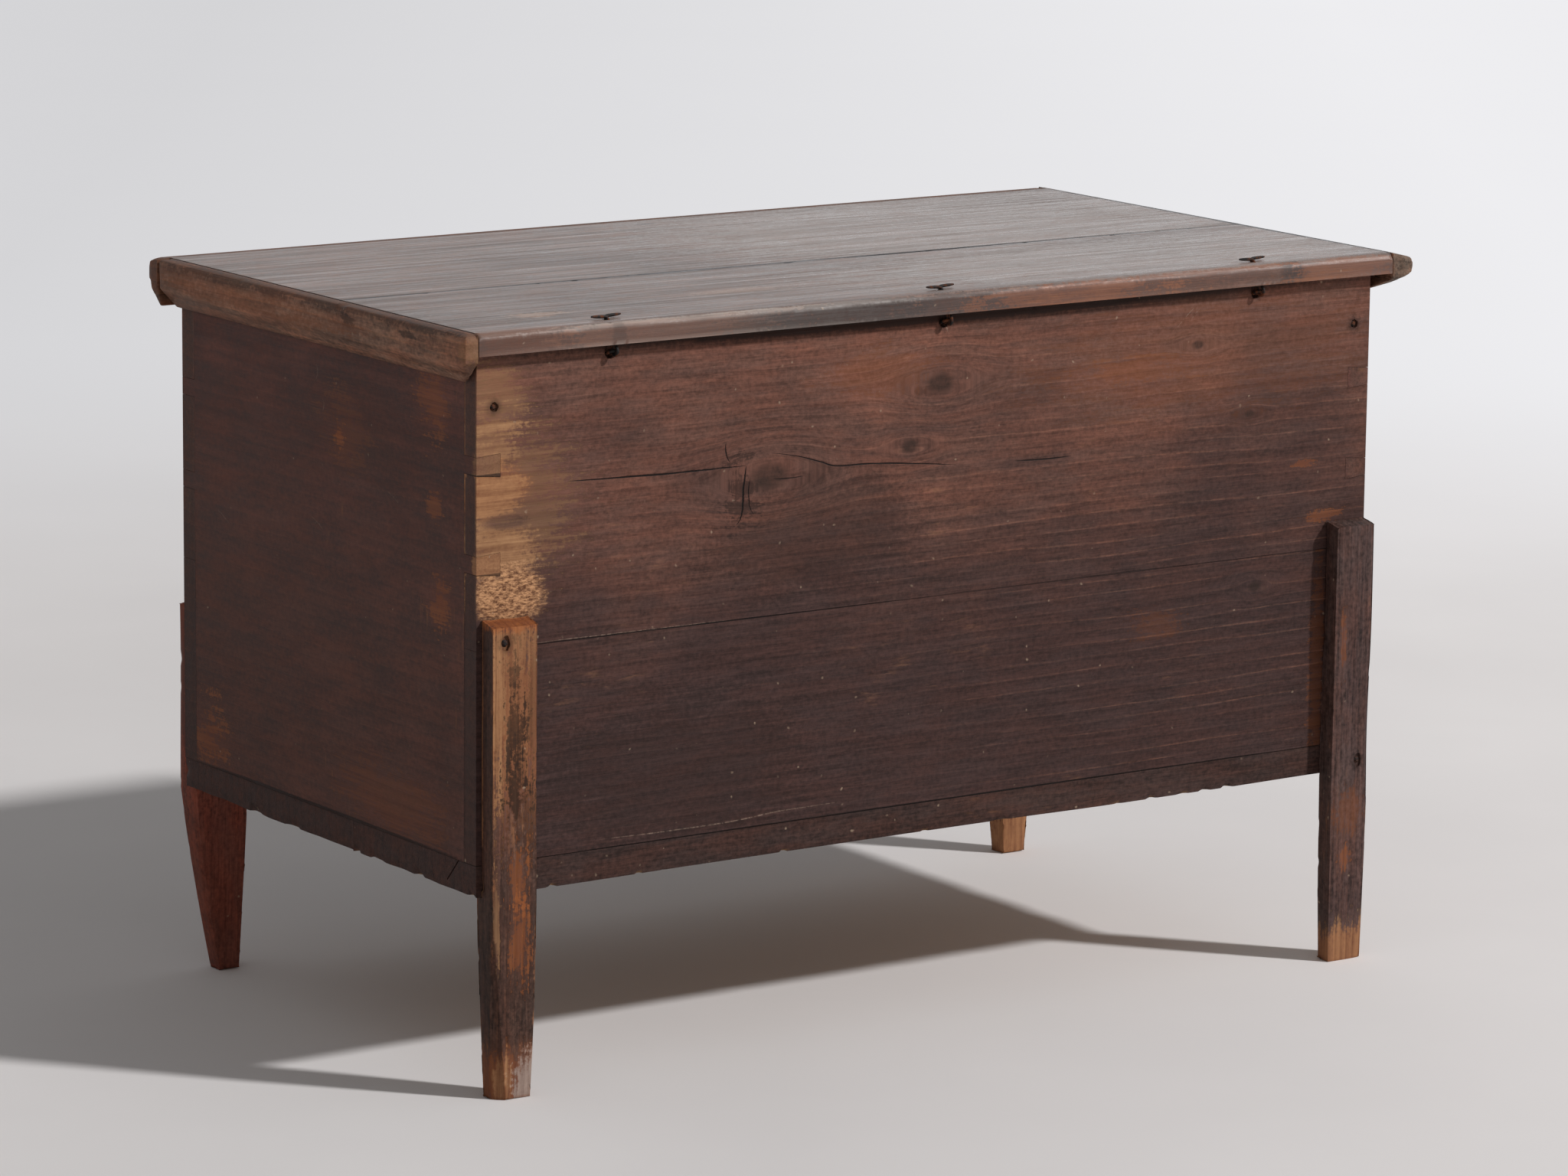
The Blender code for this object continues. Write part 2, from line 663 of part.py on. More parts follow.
def bend(corner_from, corner, corner_to, radius, steps=3):
    """Points that round a corner of a wire."""
    back = (corner_from - corner).normalized()
    ahead = (corner_to - corner).normalized()
    points = []
    for step in range(steps + 1):
        share = step / steps
        first = corner + back * radius * (1 - share)
        second = corner + ahead * radius * share
        points.append(first * (1 - share) + second * share)
    return points


def wire_mesh(name, points, tip_points):
    """A round wire along a path, drawn to a point at both ends."""
    curve = bpy.data.curves.new(name, "CURVE")
    curve.dimensions = "3D"
    curve.bevel_depth = WIRE_R
    curve.bevel_resolution = 2
    curve.use_fill_caps = True
    spline = curve.splines.new("POLY")
    spline.points.add(len(points) - 1)
    last = len(points) - 1
    for number, (point, place) in enumerate(zip(spline.points, points)):
        point.co = (*place, 1)
        from_end = min(number, last - number)
        point.radius = 0.45 if from_end < tip_points else 1.0
    return mesh_of_curve(name, curve, Matrix.Identity(4))


def pin_points(shank, across, through, face_normal, spread_along):
    """Path of a folded wire pin, from one bent-over point through the eye to the other."""
    rise = shank.dot(face_normal)
    sides = []
    for sign in (1, -1):
        line = [along * shank + sign * out * across for along, out in eye_path()]
        reach = through - sign * WIRE_SPREAD * across.dot(face_normal) / rise
        elbow = (reach + (WIRE_R + FIT) / rise) * shank + sign * WIRE_SPREAD * across
        tip = elbow + sign * PRONG_LEN * spread_along + PRONG_LIFT * face_normal
        line += bend(line[-1], elbow, tip, PRONG_BEND) + [elbow.lerp(tip, 0.7), tip]
        sides.append(line)
    return list(reversed(sides[0])) + sides[1][1:]


def pin_hole(name, origin, shank, surface, through):
    """The hole for a pin: flared where the eye sinks into the wood, then plain."""
    flare = EYE_R + WIRE_R + FIT
    plain = 2 * WIRE_R + 2 * FIT
    profile = [
        (0, through + 0.02),
        (plain, through + 0.02),
        (plain, SHANK_START + 0.003),
        (flare, surface - 0.002),
        (flare, surface - 0.004),
        (0, surface - 0.004),
    ]
    return add_cutter(name, turned_mesh(name, profile, steps=12), pointing(origin, shank))


def hinge(number, x, back_board, lid_board):
    """A snipe hinge: the lower pin through the back board, the upper one through the lid."""
    centre = Vector((x, AXIS.y, AXIS.z))
    side = Vector((1, 0, 0))

    down = Vector((0, -math.cos(LOWER_SLOPE), -math.sin(LOWER_SLOPE)))
    root = centre + down * EYE_R
    through = (AXIS_OUT + BACK_T) / math.cos(LOWER_SLOPE) - EYE_R
    points = pin_points(down, side, through, Vector((0, -1, 0)), side)
    lower = add_part(
        f"hinge_{number}_lower_pin", wire_mesh(f"hinge_{number}_lower_pin", points, 1),
        Matrix.Translation(root), IRON, BODY,
    )
    surface = AXIS_OUT / math.cos(LOWER_SLOPE) - EYE_R
    cut(back_board, pin_hole(f"hinge_{number}_lower_hole", root, down, surface, through))

    up = Vector((0, -math.cos(UPPER_SLOPE), math.sin(UPPER_SLOPE)))
    across = up.cross(side)
    through = (AXIS_DOWN + FIT + LID_T) / math.sin(UPPER_SLOPE)
    points = pin_points(up, across, through, Vector((0, 0, 1)), side)
    upper = add_part(
        f"hinge_{number}_upper_pin", wire_mesh(f"hinge_{number}_upper_pin", points, 1),
        Matrix.Translation(centre), IRON, LID,
    )
    surface = AXIS_DOWN / math.sin(UPPER_SLOPE)
    hole = pin_hole(f"hinge_{number}_upper_hole", centre, up, surface, through)
    cut(lid_board, hole)
    cut(back_board, hole)
    return lower, upper


def corner_nails(walls, ends):
    """One nail near the top of each corner, through the wall board into the end board."""
    for side, face, inner_t, inward in (("front", Y_FRONT, FRONT_T, 1), ("back", Y_BACK, BACK_T, -1)):
        for end, x_end, way in (("right", X_RIGHT, -1), ("left", X_LEFT, 1)):
            point = (x_end + way * CORNER_NAIL_IN, face, Z_TOP - CORNER_NAIL_DOWN)
            pieces = (walls[side][0], ends[end])
            nail(f"corner_nail_{side}_{end}", point, (0, inward, 0), inner_t + NAIL_BITE, pieces, BODY)


def legs_and_nails(walls, ends, bottoms):
    """Four legs with their nails into the walls and the bottom."""
    rows = (
        ("front", Y_FRONT, -1, FRONT_T, bottoms[0]),
        ("back", Y_BACK, 1, BACK_T, bottoms[1]),
    )
    for side, face, outward, wall_t, bottom in rows:
        upper, lower = walls[side]
        for end, x_end, way in (("right", X_RIGHT, -1), ("left", X_LEFT, 1)):
            post = leg(side, end, x_end, way, face, outward)
            cut_sizes = LEG_CUTS[side, end]
            x = x_end + way * (cut_sizes.inset + LEG_NAIL_IN)
            y = face + outward * (LEG_PROUD + FIT)
            long = LEG_PROUD + wall_t + NAIL_BITE
            heights = [("top", cut_sizes.top - LEG_NAIL_DOWN)]
            if cut_sizes.top > Z_JOINT:
                heights.append(("mid", LEG_CLEAR + LEG_NAIL_MID))
            for place, z in heights:
                wall = upper if z > Z_JOINT else lower
                name = f"leg_nail_{side}_{end}_{place}"
                nail(name, (x, y, z), (0, -outward, 0), long, (post, wall, ends[end]), BODY)
            low = (x, y, LEG_CLEAR + BOTTOM_T / 2)
            name = f"leg_nail_{side}_{end}_low"
            nail(name, low, (0, -outward, 0), LEG_PROUD + NAIL_BITE, (post, bottom), BODY)


def bottom_nails(walls, ends, bottoms):
    """Nails up through the bottom boards into the ends and the long walls."""
    length = BOTTOM_T + NAIL_BITE
    spans = (
        ("front", bottoms[0], Y_FRONT, BOTTOM_JOINT),
        ("back", bottoms[1], BOTTOM_JOINT, Y_BACK),
    )
    for side, plank, low, high in spans:
        for end, x_end, way in (("right", X_RIGHT, -1), ("left", X_LEFT, 1)):
            for place, y in (("a", low + BOTTOM_NAIL_EDGE), ("b", high - BOTTOM_NAIL_EDGE)):
                point = (x_end + way * END_T / 2, y, LEG_CLEAR)
                nail(f"bottom_nail_{side}_{end}_{place}", point, (0, 0, 1), length, (plank, ends[end]), BODY)
    for side, plank, y in (
        ("front", bottoms[0], Y_FRONT + FRONT_T / 2),
        ("back", bottoms[1], Y_BACK - BACK_T / 2),
    ):
        for end, x in (("right", X_RIGHT - BOTTOM_NAIL_IN), ("left", X_LEFT + BOTTOM_NAIL_IN)):
            point = (x, y, LEG_CLEAR)
            pieces = (plank, walls[side][1])
            nail(f"bottom_nail_{side}_wall_{end}", point, (0, 0, 1), length, pieces, BODY)


def lid_nails(cleats, strip, boards):
    """Nails through the cleats and the front strip into the lid boards."""
    front, back = boards
    z = Z_LID + LID_T / 2
    rows = (
        ("front", LID_Y0 + CLEAT_NAIL_FRONT, front),
        ("joint", LID_JOINT + CLEAT_NAIL_JOINT, back),
        ("back", LID_Y1 - CLEAT_NAIL_BACK, back),
    )
    for end, x_face, way, thickness in (
        ("right", LID_X1 + CLEAT_RIGHT_T, -1, CLEAT_RIGHT_T),
        ("left", LID_X0 - CLEAT_LEFT_T, 1, CLEAT_LEFT_T),
    ):
        for place, y, plank in rows:
            name = f"cleat_nail_{end}_{place}"
            nail(name, (x_face, y, z), (way, 0, 0), thickness + NAIL_BITE, (cleats[end], plank), LID)
    first, last = LID_X0 + STRIP_NAIL_IN, LID_X1 - STRIP_NAIL_IN
    for number in range(STRIP_NAILS):
        x = first + (last - first) * number / (STRIP_NAILS - 1)
        point = (x, LID_Y0 - STRIP_T, z)
        nail(f"strip_nail_{number + 1}", point, (0, 1, 0), STRIP_T + NAIL_BITE, (strip, front), LID)


def main():
    """Build the box, the legs, the lid and the hinges."""
    walls = {
        "front": wall_boards("front", Y_FRONT, Y_FRONT + FRONT_T, STAINED),
        "back": wall_boards("back", Y_BACK, Y_BACK - BACK_T, STAINED),
    }
    ends = {"right": end_board("right", X_RIGHT, -1), "left": end_board("left", X_LEFT, 1)}
    bottoms = bottom_boards()
    corner_nails(walls, ends)
    legs_and_nails(walls, ends, bottoms)
    bottom_nails(walls, ends, bottoms)

    boards = lid_boards()
    cleats = {"right": right_cleat(), "left": left_cleat()}
    strip = lid_strip()
    lid_nails(cleats, strip, boards)
    for number, x in enumerate((X_LEFT + HINGE_IN, BODY_X, X_RIGHT - HINGE_IN)):
        hinge(number + 1, x, walls["back"][0], boards[1])


main()
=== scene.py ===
"""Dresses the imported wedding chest: worn stained pine, hewn legs, wire hinges and forged nails."""

from __future__ import annotations

import itertools
import json
import logging
import math
from dataclasses import dataclass, field, replace
from enum import Enum

import bmesh
import bpy
import numpy as np
from mathutils import Matrix, Vector

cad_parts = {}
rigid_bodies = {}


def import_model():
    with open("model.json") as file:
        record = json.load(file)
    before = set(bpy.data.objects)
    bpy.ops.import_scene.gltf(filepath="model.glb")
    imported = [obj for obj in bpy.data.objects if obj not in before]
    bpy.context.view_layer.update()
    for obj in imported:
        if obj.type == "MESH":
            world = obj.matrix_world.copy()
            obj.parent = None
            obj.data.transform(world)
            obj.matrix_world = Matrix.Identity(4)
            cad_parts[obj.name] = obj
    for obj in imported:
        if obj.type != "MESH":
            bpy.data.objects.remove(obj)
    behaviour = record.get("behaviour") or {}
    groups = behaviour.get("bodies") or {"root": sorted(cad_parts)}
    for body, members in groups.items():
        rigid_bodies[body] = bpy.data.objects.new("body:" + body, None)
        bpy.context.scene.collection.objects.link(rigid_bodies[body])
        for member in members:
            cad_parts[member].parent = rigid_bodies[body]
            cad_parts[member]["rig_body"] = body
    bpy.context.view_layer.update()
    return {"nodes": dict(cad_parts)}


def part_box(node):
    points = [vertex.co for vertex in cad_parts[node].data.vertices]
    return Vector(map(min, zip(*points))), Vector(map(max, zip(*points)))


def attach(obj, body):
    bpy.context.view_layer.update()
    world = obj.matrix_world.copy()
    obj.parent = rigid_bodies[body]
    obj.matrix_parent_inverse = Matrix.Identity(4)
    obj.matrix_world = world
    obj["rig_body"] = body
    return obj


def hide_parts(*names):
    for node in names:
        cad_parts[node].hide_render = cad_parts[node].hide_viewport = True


LOG = logging.getLogger("wedding_chest")
Array = np.ndarray
Socket = bpy.types.NodeSocket
Pair = tuple[float, float]

# What the mode of a node is called.
MODES = {"Math": "operation", "VectorMath": "operation", "MapRange": "interpolation_type", "Mix": "data_type"}

# How the grain bends round a knot: how oval it is, then shares of its radius.
KNOT_OVAL, KNOT_REACH, KNOT_PUSH, KNOT_CORE, KNOT_RIM = 0.62, 4.2, 1.15, 0.4, 0.95
# A crack's rough lips and spare height in metres, and how it thins out towards its ends.
CRACK_LIP, CRACK_SPARE, CRACK_TAPER, CRACK_FULL = 0.0006, 0.001, 0.4, 1.7
# Least and most of the stain's unevenness.
ROUGH_TONE = (1.5, 2.24)
# Where a patch starts to end and has ended, as shares of its half size.
PATCH_CORE, PATCH_RIM = 0.62, 1.08

# Sizes of the carving, in metres.
MERGE, SLIVER = 1e-6, 2e-6
SHORTEST_ARRIS, ARRIS_STEP = 0.005, 0.006
SWELL_ALONG, SWELL_ACROSS = 0.12, 0.022
CHIP_SIZE, CHIP_REACH = 0.013, 0.009
PLUG_RADIUS, PLUG_DEPTH, PLUG_SINK = 0.005, 0.006, 0.0022
HOLE_FOOT, HOLE_MOUTH, HOLE_DEPTH, HOLE_RISE = 0.0041, 0.0047, 0.007, 0.0015
SPLIT_DEPTH, SPLIT_WIDTH = 0.024, 0.0014
HEAD_SLACK, WALL_SLACK, IRON_REACH = 0.002, 0.001, 0.1
# From which value of the noise on a chip starts, and what is left above it.
CHIP_START, CHIP_SPAN = 0.42, 0.58
# How ragged a nail hole is, its sides, and the least share of faces that cutting holes may leave.
HOLE_RAGGED, HOLE_SIDES, LEAST_LEFT = 0.1, 12, 0.9
# Angles between two faces, in radians, from which on their edge is an arris and is drawn sharp.
ARRIS_ANGLE, SHARP_ANGLE = 0.7, math.radians(48)

# The sides of a piece: an axis, and the way along it.
LEFT, RIGHT, FRONT, BACK, BELOW, ABOVE = (0, -1), (0, 1), (1, -1), (1, 1), (2, -1), (2, 1)


class Grain(Enum):
    """Which axes run along, across and through the grain of a piece."""

    LENGTHWISE_FLAT = (0, 1, 2)
    LENGTHWISE_UPRIGHT = (0, 2, 1)
    END_BOARD = (1, 2, 0)
    POST = (2, 0, 1)


class BareAndPaintedLight(Enum):
    """What a patch shows: wood where the stain is gone, a dark mark, or painted shade or light."""

    WORN = "worn"
    GNAWED = "gnawed"
    ORANGE = "orange"
    PALE = "pale"
    BLACK = "black"
    DARK = "dark"


WORN, GNAWED, ORANGE, PALE, BLACK, DARK = BareAndPaintedLight


@dataclass(frozen=True)
class Shake:
    """A drying crack, as points (along, across) in metres, and half its width."""

    points: tuple[Pair, ...]
    half_width: float = 0.0009
    crosswise: bool = False


@dataclass(frozen=True)
class Knot:
    """A knot: its place along and across the grain and its radius, in metres."""

    along: float
    across: float
    radius: float


@dataclass(frozen=True)
class Patch:
    """A patch of bare wood, a dark mark, or painted shade or light: its middle and half sizes in metres, how
    strong and ragged, and its share on edges.
    """

    along: float
    across: float
    half_along: float
    half_across: float
    kind: BareAndPaintedLight = WORN
    strength: float = 1.0
    tear: float = 1.0
    edges: float = 0.0


@dataclass(frozen=True)
class Marks:
    """What one board has met: shakes, scratches, knots, bare places and painted patches of shade and light,
    and where its rings fade in.
    """

    shakes: tuple[Shake, ...] = ()
    scratches: tuple[Shake, ...] = ()
    knots: tuple[Knot, ...] = ()
    patches: tuple[Patch, ...] = ()
    rings: Pair | None = None


def linear(hex_colour: str) -> tuple[float, float, float, float]:
    """Turns an sRGB hex colour into linear values.

    Args:
        hex_colour: Colour such as "#6d4a3d".

    Returns:
        Linear red, green, blue and an alpha of 1.
    """
    parts = [int(hex_colour[i : i + 2], 16) / 255 for i in (1, 3, 5)]
    red, green, blue = (c / 12.92 if c <= 0.04045 else ((c + 0.055) / 1.055) ** 2.4 for c in parts)
    return red, green, blue, 1.0


def per_metre(*sizes_mm: float) -> tuple[float, ...]:
    """Gives how many features of each size in millimetres lie in a metre."""
    return tuple(1000 / s for s in sizes_mm)


class Recipe:
    """The node tree of a material or a world."""

    def __init__(self, holder: bpy.types.Material | bpy.types.World) -> None:
        """Empties the tree."""
        holder.use_nodes = True
        self.holder, self.tree = holder, holder.node_tree
        self.tree.nodes.clear()

    def add(self, kind: str, *values: object, out: str | None = None, **settings: object) -> Socket | None:
        """Adds a node with its settings and links.

        Args:
            kind: Node type without its "ShaderNode" prefix, and its mode after a dot, such as "Math.ADD".
            *values: A number, hex colour or socket for each input in use, or a dict of them by name.
            out: Output to return, if not the first one in use.
            **settings: Properties of the node.

        Returns:
            The chosen output socket, or None for a node that has no outputs.
        """
        name, _, mode = kind.partition(".")
        node = self.tree.nodes.new("ShaderNode" + name)
        if mode:
            setattr(node, MODES[name], mode)
        for key, value in settings.items():
            setattr(node, key, value)
        in_use = [socket for socket in node.inputs if socket.enabled]
        given = zip(in_use, values)
        if values and isinstance(values[0], dict):
            given = ((node.inputs[key], value) for key, value in values[0].items())
        for socket, value in given:
            if isinstance(value, bpy.types.NodeSocket):
                self.tree.links.new(value, socket)
            else:
                socket.default_value = linear(value) if isinstance(value, str) else value
        return node.outputs[out] if out else next((s for s in node.outputs if s.enabled), None)

    def total(self, *parts: tuple[Socket, float], start: float | Socket = 0.0) -> Socket:
        """Adds up sockets.

        Args:
            *parts: Each socket and its share.
            start: What they are added to.

        Returns:
            The sum.
        """
        for socket, share in parts:
            start = self.add("Math.MULTIPLY_ADD", socket, share, start)
        return start


@dataclass(frozen=True)
class Wood:
    """What the layers of a finish share: coordinates by the grain, and noises and mesh fields by name."""

    recipe: Recipe
    along: Socket
    across: Socket
    bent: Socket
    height: Socket
    noise: dict[str, Socket]
    fields: dict[str, Socket]


@dataclass(frozen=True)
class StainedPine:
    """Hand-planed pine, stained once and worn since: dark film, raw wood on arrises, open shakes."""

    name: str
    grain: Grain
    stain_light: str
    stain_dark: str
    stain_low: str
    low_z: float = 0.34
    high_z: float = 0.66
    rim_stain: str = "#382a27"
    rim_share: float = 0.8
    raw_light: str = "#b98c64"
    raw_dark: str = "#7c5338"
    worn: str = "#8f5c3c"
    ring_mm: float = 12.0
    mottle_mm: Pair = (60.0, 12.0)
    tint: float = 0.08
    show_grain: float = 0.42
    uneven: float = 0.46
    arris_wear: float = 0.35
    scuff: float = 0.5
    scuff_upright: bool = False
    stripes: float = 0.9
    speck: float = 0.6
    streaky: float = 0.0
    rough: float = 0.62
    specular: float = 0.12

    def flow(
        self, recipe: Recipe, along: Socket, across: Socket, knots: tuple[Knot, ...]
    ) -> tuple[Socket, Socket | None]:
        """Bends the grain round the knots.

        Args:
            recipe: Material being filled.
            along: Coordinate along the grain.
            across: Coordinate across the grain.
            knots: Knots of the board.

        Returns:
            The across coordinate as the grain runs, and a mask of the knots' hearts if there are any.
        """
        add = recipe.add
        bent = across
        heart: Socket | None = None
        for knot in knots:
            dx = add("Math.SUBTRACT", along, knot.along)
            dy = add("Math.SUBTRACT", across, knot.across)
            flat = add("CombineXYZ", add("Math.MULTIPLY", dx, KNOT_OVAL), dy)
            reach = add("VectorMath.LENGTH", flat)
            share = add("MapRange.SMOOTHSTEP", reach, 0.0, knot.radius * KNOT_REACH, 1.0, 0.0)
            side = add("MapRange.SMOOTHSTEP", dy, -knot.radius, knot.radius, -1.0, 1.0)
            push = add("Math.MULTIPLY", share, side)
            bent = add("Math.MULTIPLY_ADD", push, -KNOT_PUSH * knot.radius, bent)
            spot = add(
                "MapRange.SMOOTHSTEP", reach, knot.radius * KNOT_CORE, knot.radius * KNOT_RIM, 1.0, 0.0
            )
            heart = spot if heart is None else add("Math.MAXIMUM", heart, spot)
        return bent, heart

    def cracks(
        self, recipe: Recipe, along: Socket, across: Socket, fine: Socket, shakes: tuple[Shake, ...]
    ) -> Socket | None:
        """Draws the shakes or scratches as thin lines with tapered ends.

        Args:
            recipe: Material being filled.
            along: Coordinate along the grain.
            across: Coordinate across the grain.
            fine: Fine noise that roughens the lips of a shake.
            shakes: Shakes of the board.

        Returns:
            A mask that is 1 inside a shake, or None where there are none.
        """
        add = recipe.add
        mask: Socket | None = None
        wobble = add("MapRange", fine, 0.2, 0.8, -CRACK_LIP, CRACK_LIP)
        for shake in shakes:
            run, rise = (across, along) if shake.crosswise else (along, across)
            starts, levels = zip(*sorted(shake.points))
            low, high = min(levels) - CRACK_SPARE, max(levels) + CRACK_SPARE
            part = add("MapRange", run, starts[0], starts[-1], 0.0, 1.0)
            line = add("FloatCurve", 1.0, part)
            curve = line.node.mapping.curves[0]
            for n, (start, level) in enumerate(zip(starts, levels)):
                place = ((start - starts[0]) / (starts[-1] - starts[0]), (level - low) / (high - low))
                point = curve.points[n] if n < 2 else curve.points.new(*place)
                point.location = place
                point.handle_type = "AUTO"
            line.node.mapping.update()
            level_at = add("MapRange", line, 0.0, 1.0, low, high)
            off = add("Math.ADD", add("Math.SUBTRACT", rise, level_at), wobble)
            ends = add("Math.MULTIPLY", add("Math.SUBTRACT", 1.0, part), part)
            width = add("Math.MULTIPLY", add("Math.POWER", ends, CRACK_TAPER), shake.half_width * CRACK_FULL)
            depth = add("Math.SUBTRACT", width, add("Math.ABSOLUTE", off))
            here = add("MapRange", depth, 0.0, CRACK_LIP, 0.0, 1.0)
            mask = here if mask is None else add("Math.MAXIMUM", mask, here)
        return mask

    def bare_and_painted_place(
        self, recipe: Recipe, along: Socket, across: Socket, ragged: Socket, patch: Patch
    ) -> Socket:
        """Draws one patch, bare wood, a dark mark or painted shade or light, with a ragged edge.

        Args:
            recipe: Material being filled.
            along: Coordinate along the grain.
            across: Coordinate across the grain.
            ragged: Noise about 0 that tears the edge.
            patch: The place.

        Returns:
            A mask that is its strength inside the place.
        """
        add = recipe.add
        u = add(
            "MapRange", along, patch.along - patch.half_along, patch.along + patch.half_along, -1.0, 1.0,
            clamp=False
        )
        v = add(
            "MapRange", across, patch.across - patch.half_across, patch.across + patch.half_across, -1.0, 1.0,
            clamp=False
        )
        flat = add("CombineXYZ", u, v)
        out = add("VectorMath.LENGTH", flat)
        torn = add("Math.MULTIPLY_ADD", ragged, patch.tear, out)
        return add("MapRange.SMOOTHSTEP", torn, PATCH_CORE, PATCH_RIM, patch.strength, 0.0)

    def noises(self, recipe: Recipe, lie: Socket) -> dict[str, Socket]:
        """Adds the noises that the layers draw on.

        Args:
            recipe: Material being filled.
            lie: Coordinates along, across and through the grain.

        Returns:
            Each noise by its name.
        """
        # The size of their features in mm, along, across and through the grain, and their detail.
        # Pine's fibre and flecks are finer than the render shows, so they are drawn about 2 mm wide.
        features = {
            "fibre": ((90, 2.2, 2.2), 4.0),
            "mottle": ((self.mottle_mm[0], self.mottle_mm[1], self.mottle_mm[1]), 5.0),
            "streak": ((320, 8, 8), 4.0),
            "sway": ((520, 90, 90), 2.0),
            "blotch": ((190, 150, 150), 5.0),
            "grit": ((4.5, 4.5, 4.5), 4.0),
            "scuff": ((5, 34, 34) if self.scuff_upright else (34, 7, 7), 5.0),
            "bite": ((5, 2, 2), 3.0),
            "fleck": ((14, 1.8, 1.8), 3.0),
            "tint": ((75, 20, 20), 5.0),
        }
        noises = {}
        for name, (sizes, detail) in features.items():
            at = recipe.add("VectorMath.MULTIPLY", lie, per_metre(*sizes))
            noises[name] = recipe.add("TexNoise", at, 1.0, detail, 0.66)
        return noises

    def rings(self, wood: Wood, fade_in: Pair | None) -> tuple[Socket, Socket]:
        """Draws growth rings: a slow rise to dark late wood, then a sharp drop to a thin light line.

        Args:
            wood: What the layers share.
            fade_in: Where along the board the rings start and end fading in, if they do.

        Returns:
            The late wood, and the light lines where they show.
        """
        add, noise = wood.recipe.add, wood.noise
        bend = add("Math.MULTIPLY", wood.bent, per_metre(self.ring_mm)[0])
        part = add("Math.FRACT", wood.recipe.total((noise["sway"], 1.7), start=bend))
        rise = add("MapRange.SMOOTHSTEP", part, 0.3, 0.92, 0.0, 1.0)
        drop = add("MapRange.SMOOTHSTEP", part, 0.92, 1.0, 1.0, 0.0)
        thin = add("MapRange.SMOOTHSTEP", part, 0.0, 0.17, 1.0, 0.0)
        shown = add("MapRange.SMOOTHSTEP", noise["streak"], 0.4, 0.62, 0.1, 1.0)
        if fade_in:
            fade = add("MapRange.SMOOTHSTEP", wood.along, *fade_in, 0.12, 1.0)
            shown = add("Math.MULTIPLY", shown, fade)
        worn_through = add("MapRange", noise["fleck"], 0.38, 0.58, 0.3, 1.0)
        line = add("Math.MULTIPLY", add("Math.MULTIPLY", thin, shown), worn_through)
        return add("Math.MULTIPLY", rise, drop), line

    def film(self, wood: Wood, late: Socket, line: Socket) -> tuple[Socket, Socket, Socket]:
        """Lays the stain: blotches, a darker fall to the floor, the edges' own tone, fine unevenness.

        Args:
            wood: What the layers share.
            late: Late wood of the rings.
            line: Light lines of the rings.

        Returns:
            Its colour, its blotches and its unevenness.
        """
        add, total, noise = wood.recipe.add, wood.recipe.total, wood.noise
        tone = add("MapRange", total((noise["streak"], 0.5), (noise["blotch"], 0.9)), 0.5, 0.9, 0.0, 1.0)
        film = add("Mix.RGBA", tone, self.stain_dark, self.stain_light)
        height = total((noise["blotch"], 0.3), start=wood.height)
        low = add("MapRange.SMOOTHSTEP", height, self.low_z + 0.15, self.high_z + 0.15, 1.0, 0.0)
        film = add("Mix.RGBA", low, film, self.stain_low)
        film = add("Mix.RGBA", add("Math.MULTIPLY", line, self.show_grain), film, self.worn)
        rim = add("Math.MULTIPLY", wood.fields["rim"], self.rim_share)
        film = add("Mix.RGBA", rim, film, self.rim_stain)
        rough = total(
            (noise["mottle"], 1.7 - self.stripes), (noise["fibre"], self.stripes), (noise["grit"], 1.3),
            (noise["fleck"], 0.8), (late, -0.12),
        )
        uneven = add("MapRange", rough, *ROUGH_TONE, 1.0 - self.uneven, 1.0 + self.uneven)
        film = add("VectorMath.SCALE", film, uneven)
        hue = add("MapRange.SMOOTHSTEP", noise["tint"], 0.36, 0.64, 0.0, 1.0)
        grey = (1 - self.tint, 1.0, 1 + 0.6 * self.tint, 1.0)
        red = (1 + 1.3 * self.tint, 1 - 0.3 * self.tint, 1 - self.tint, 1.0)
        film = add("VectorMath.MULTIPLY", film, add("Mix.RGBA", hue, grey, red))
        # On a polished film, lighter and darker streaks along the grain: partly the stain's own streaks,
        # partly painted sheen.
        if self.streaky:
            band = add("MapRange", noise["streak"], 0.32, 0.68, 1.0 - self.streaky, 1.0 + self.streaky)
            film = add("VectorMath.SCALE", film, band)
        return film, tone, rough

    def rubbed(self, wood: Wood, film: Socket, raw: Socket) -> tuple[Socket, Socket]:
        """Rubs the stain off the arrises first, as hands and cloths do, then in short strokes.

        Args:
            wood: What the layers share.
            film: Colour of the stain.
            raw: Colour of the wood under it.

        Returns:
            The colour, and a mask of where the stain is gone.
        """
        add, noise = wood.recipe.add, wood.noise
        near = add("MapRange", wood.fields["arris"], 0.0, 0.008, self.arris_wear, 0.0)
        rub = wood.recipe.total((noise["mottle"], 0.9), (noise["grit"], 0.35), start=near)
        bald = add("MapRange.SMOOTHSTEP", rub, 0.92, 1.12, 0.0, 0.85)
        strokes = add("Math.ADD", noise["scuff"], noise["blotch"])
        strokes = add("MapRange.SMOOTHSTEP", strokes, 1.16, 1.36, 0.0, self.scuff)
        bald = add("Math.MAXIMUM", bald, strokes)
        return add("Mix.RGBA", bald, film, add("Mix.RGBA", 0.4, self.worn, raw)), bald

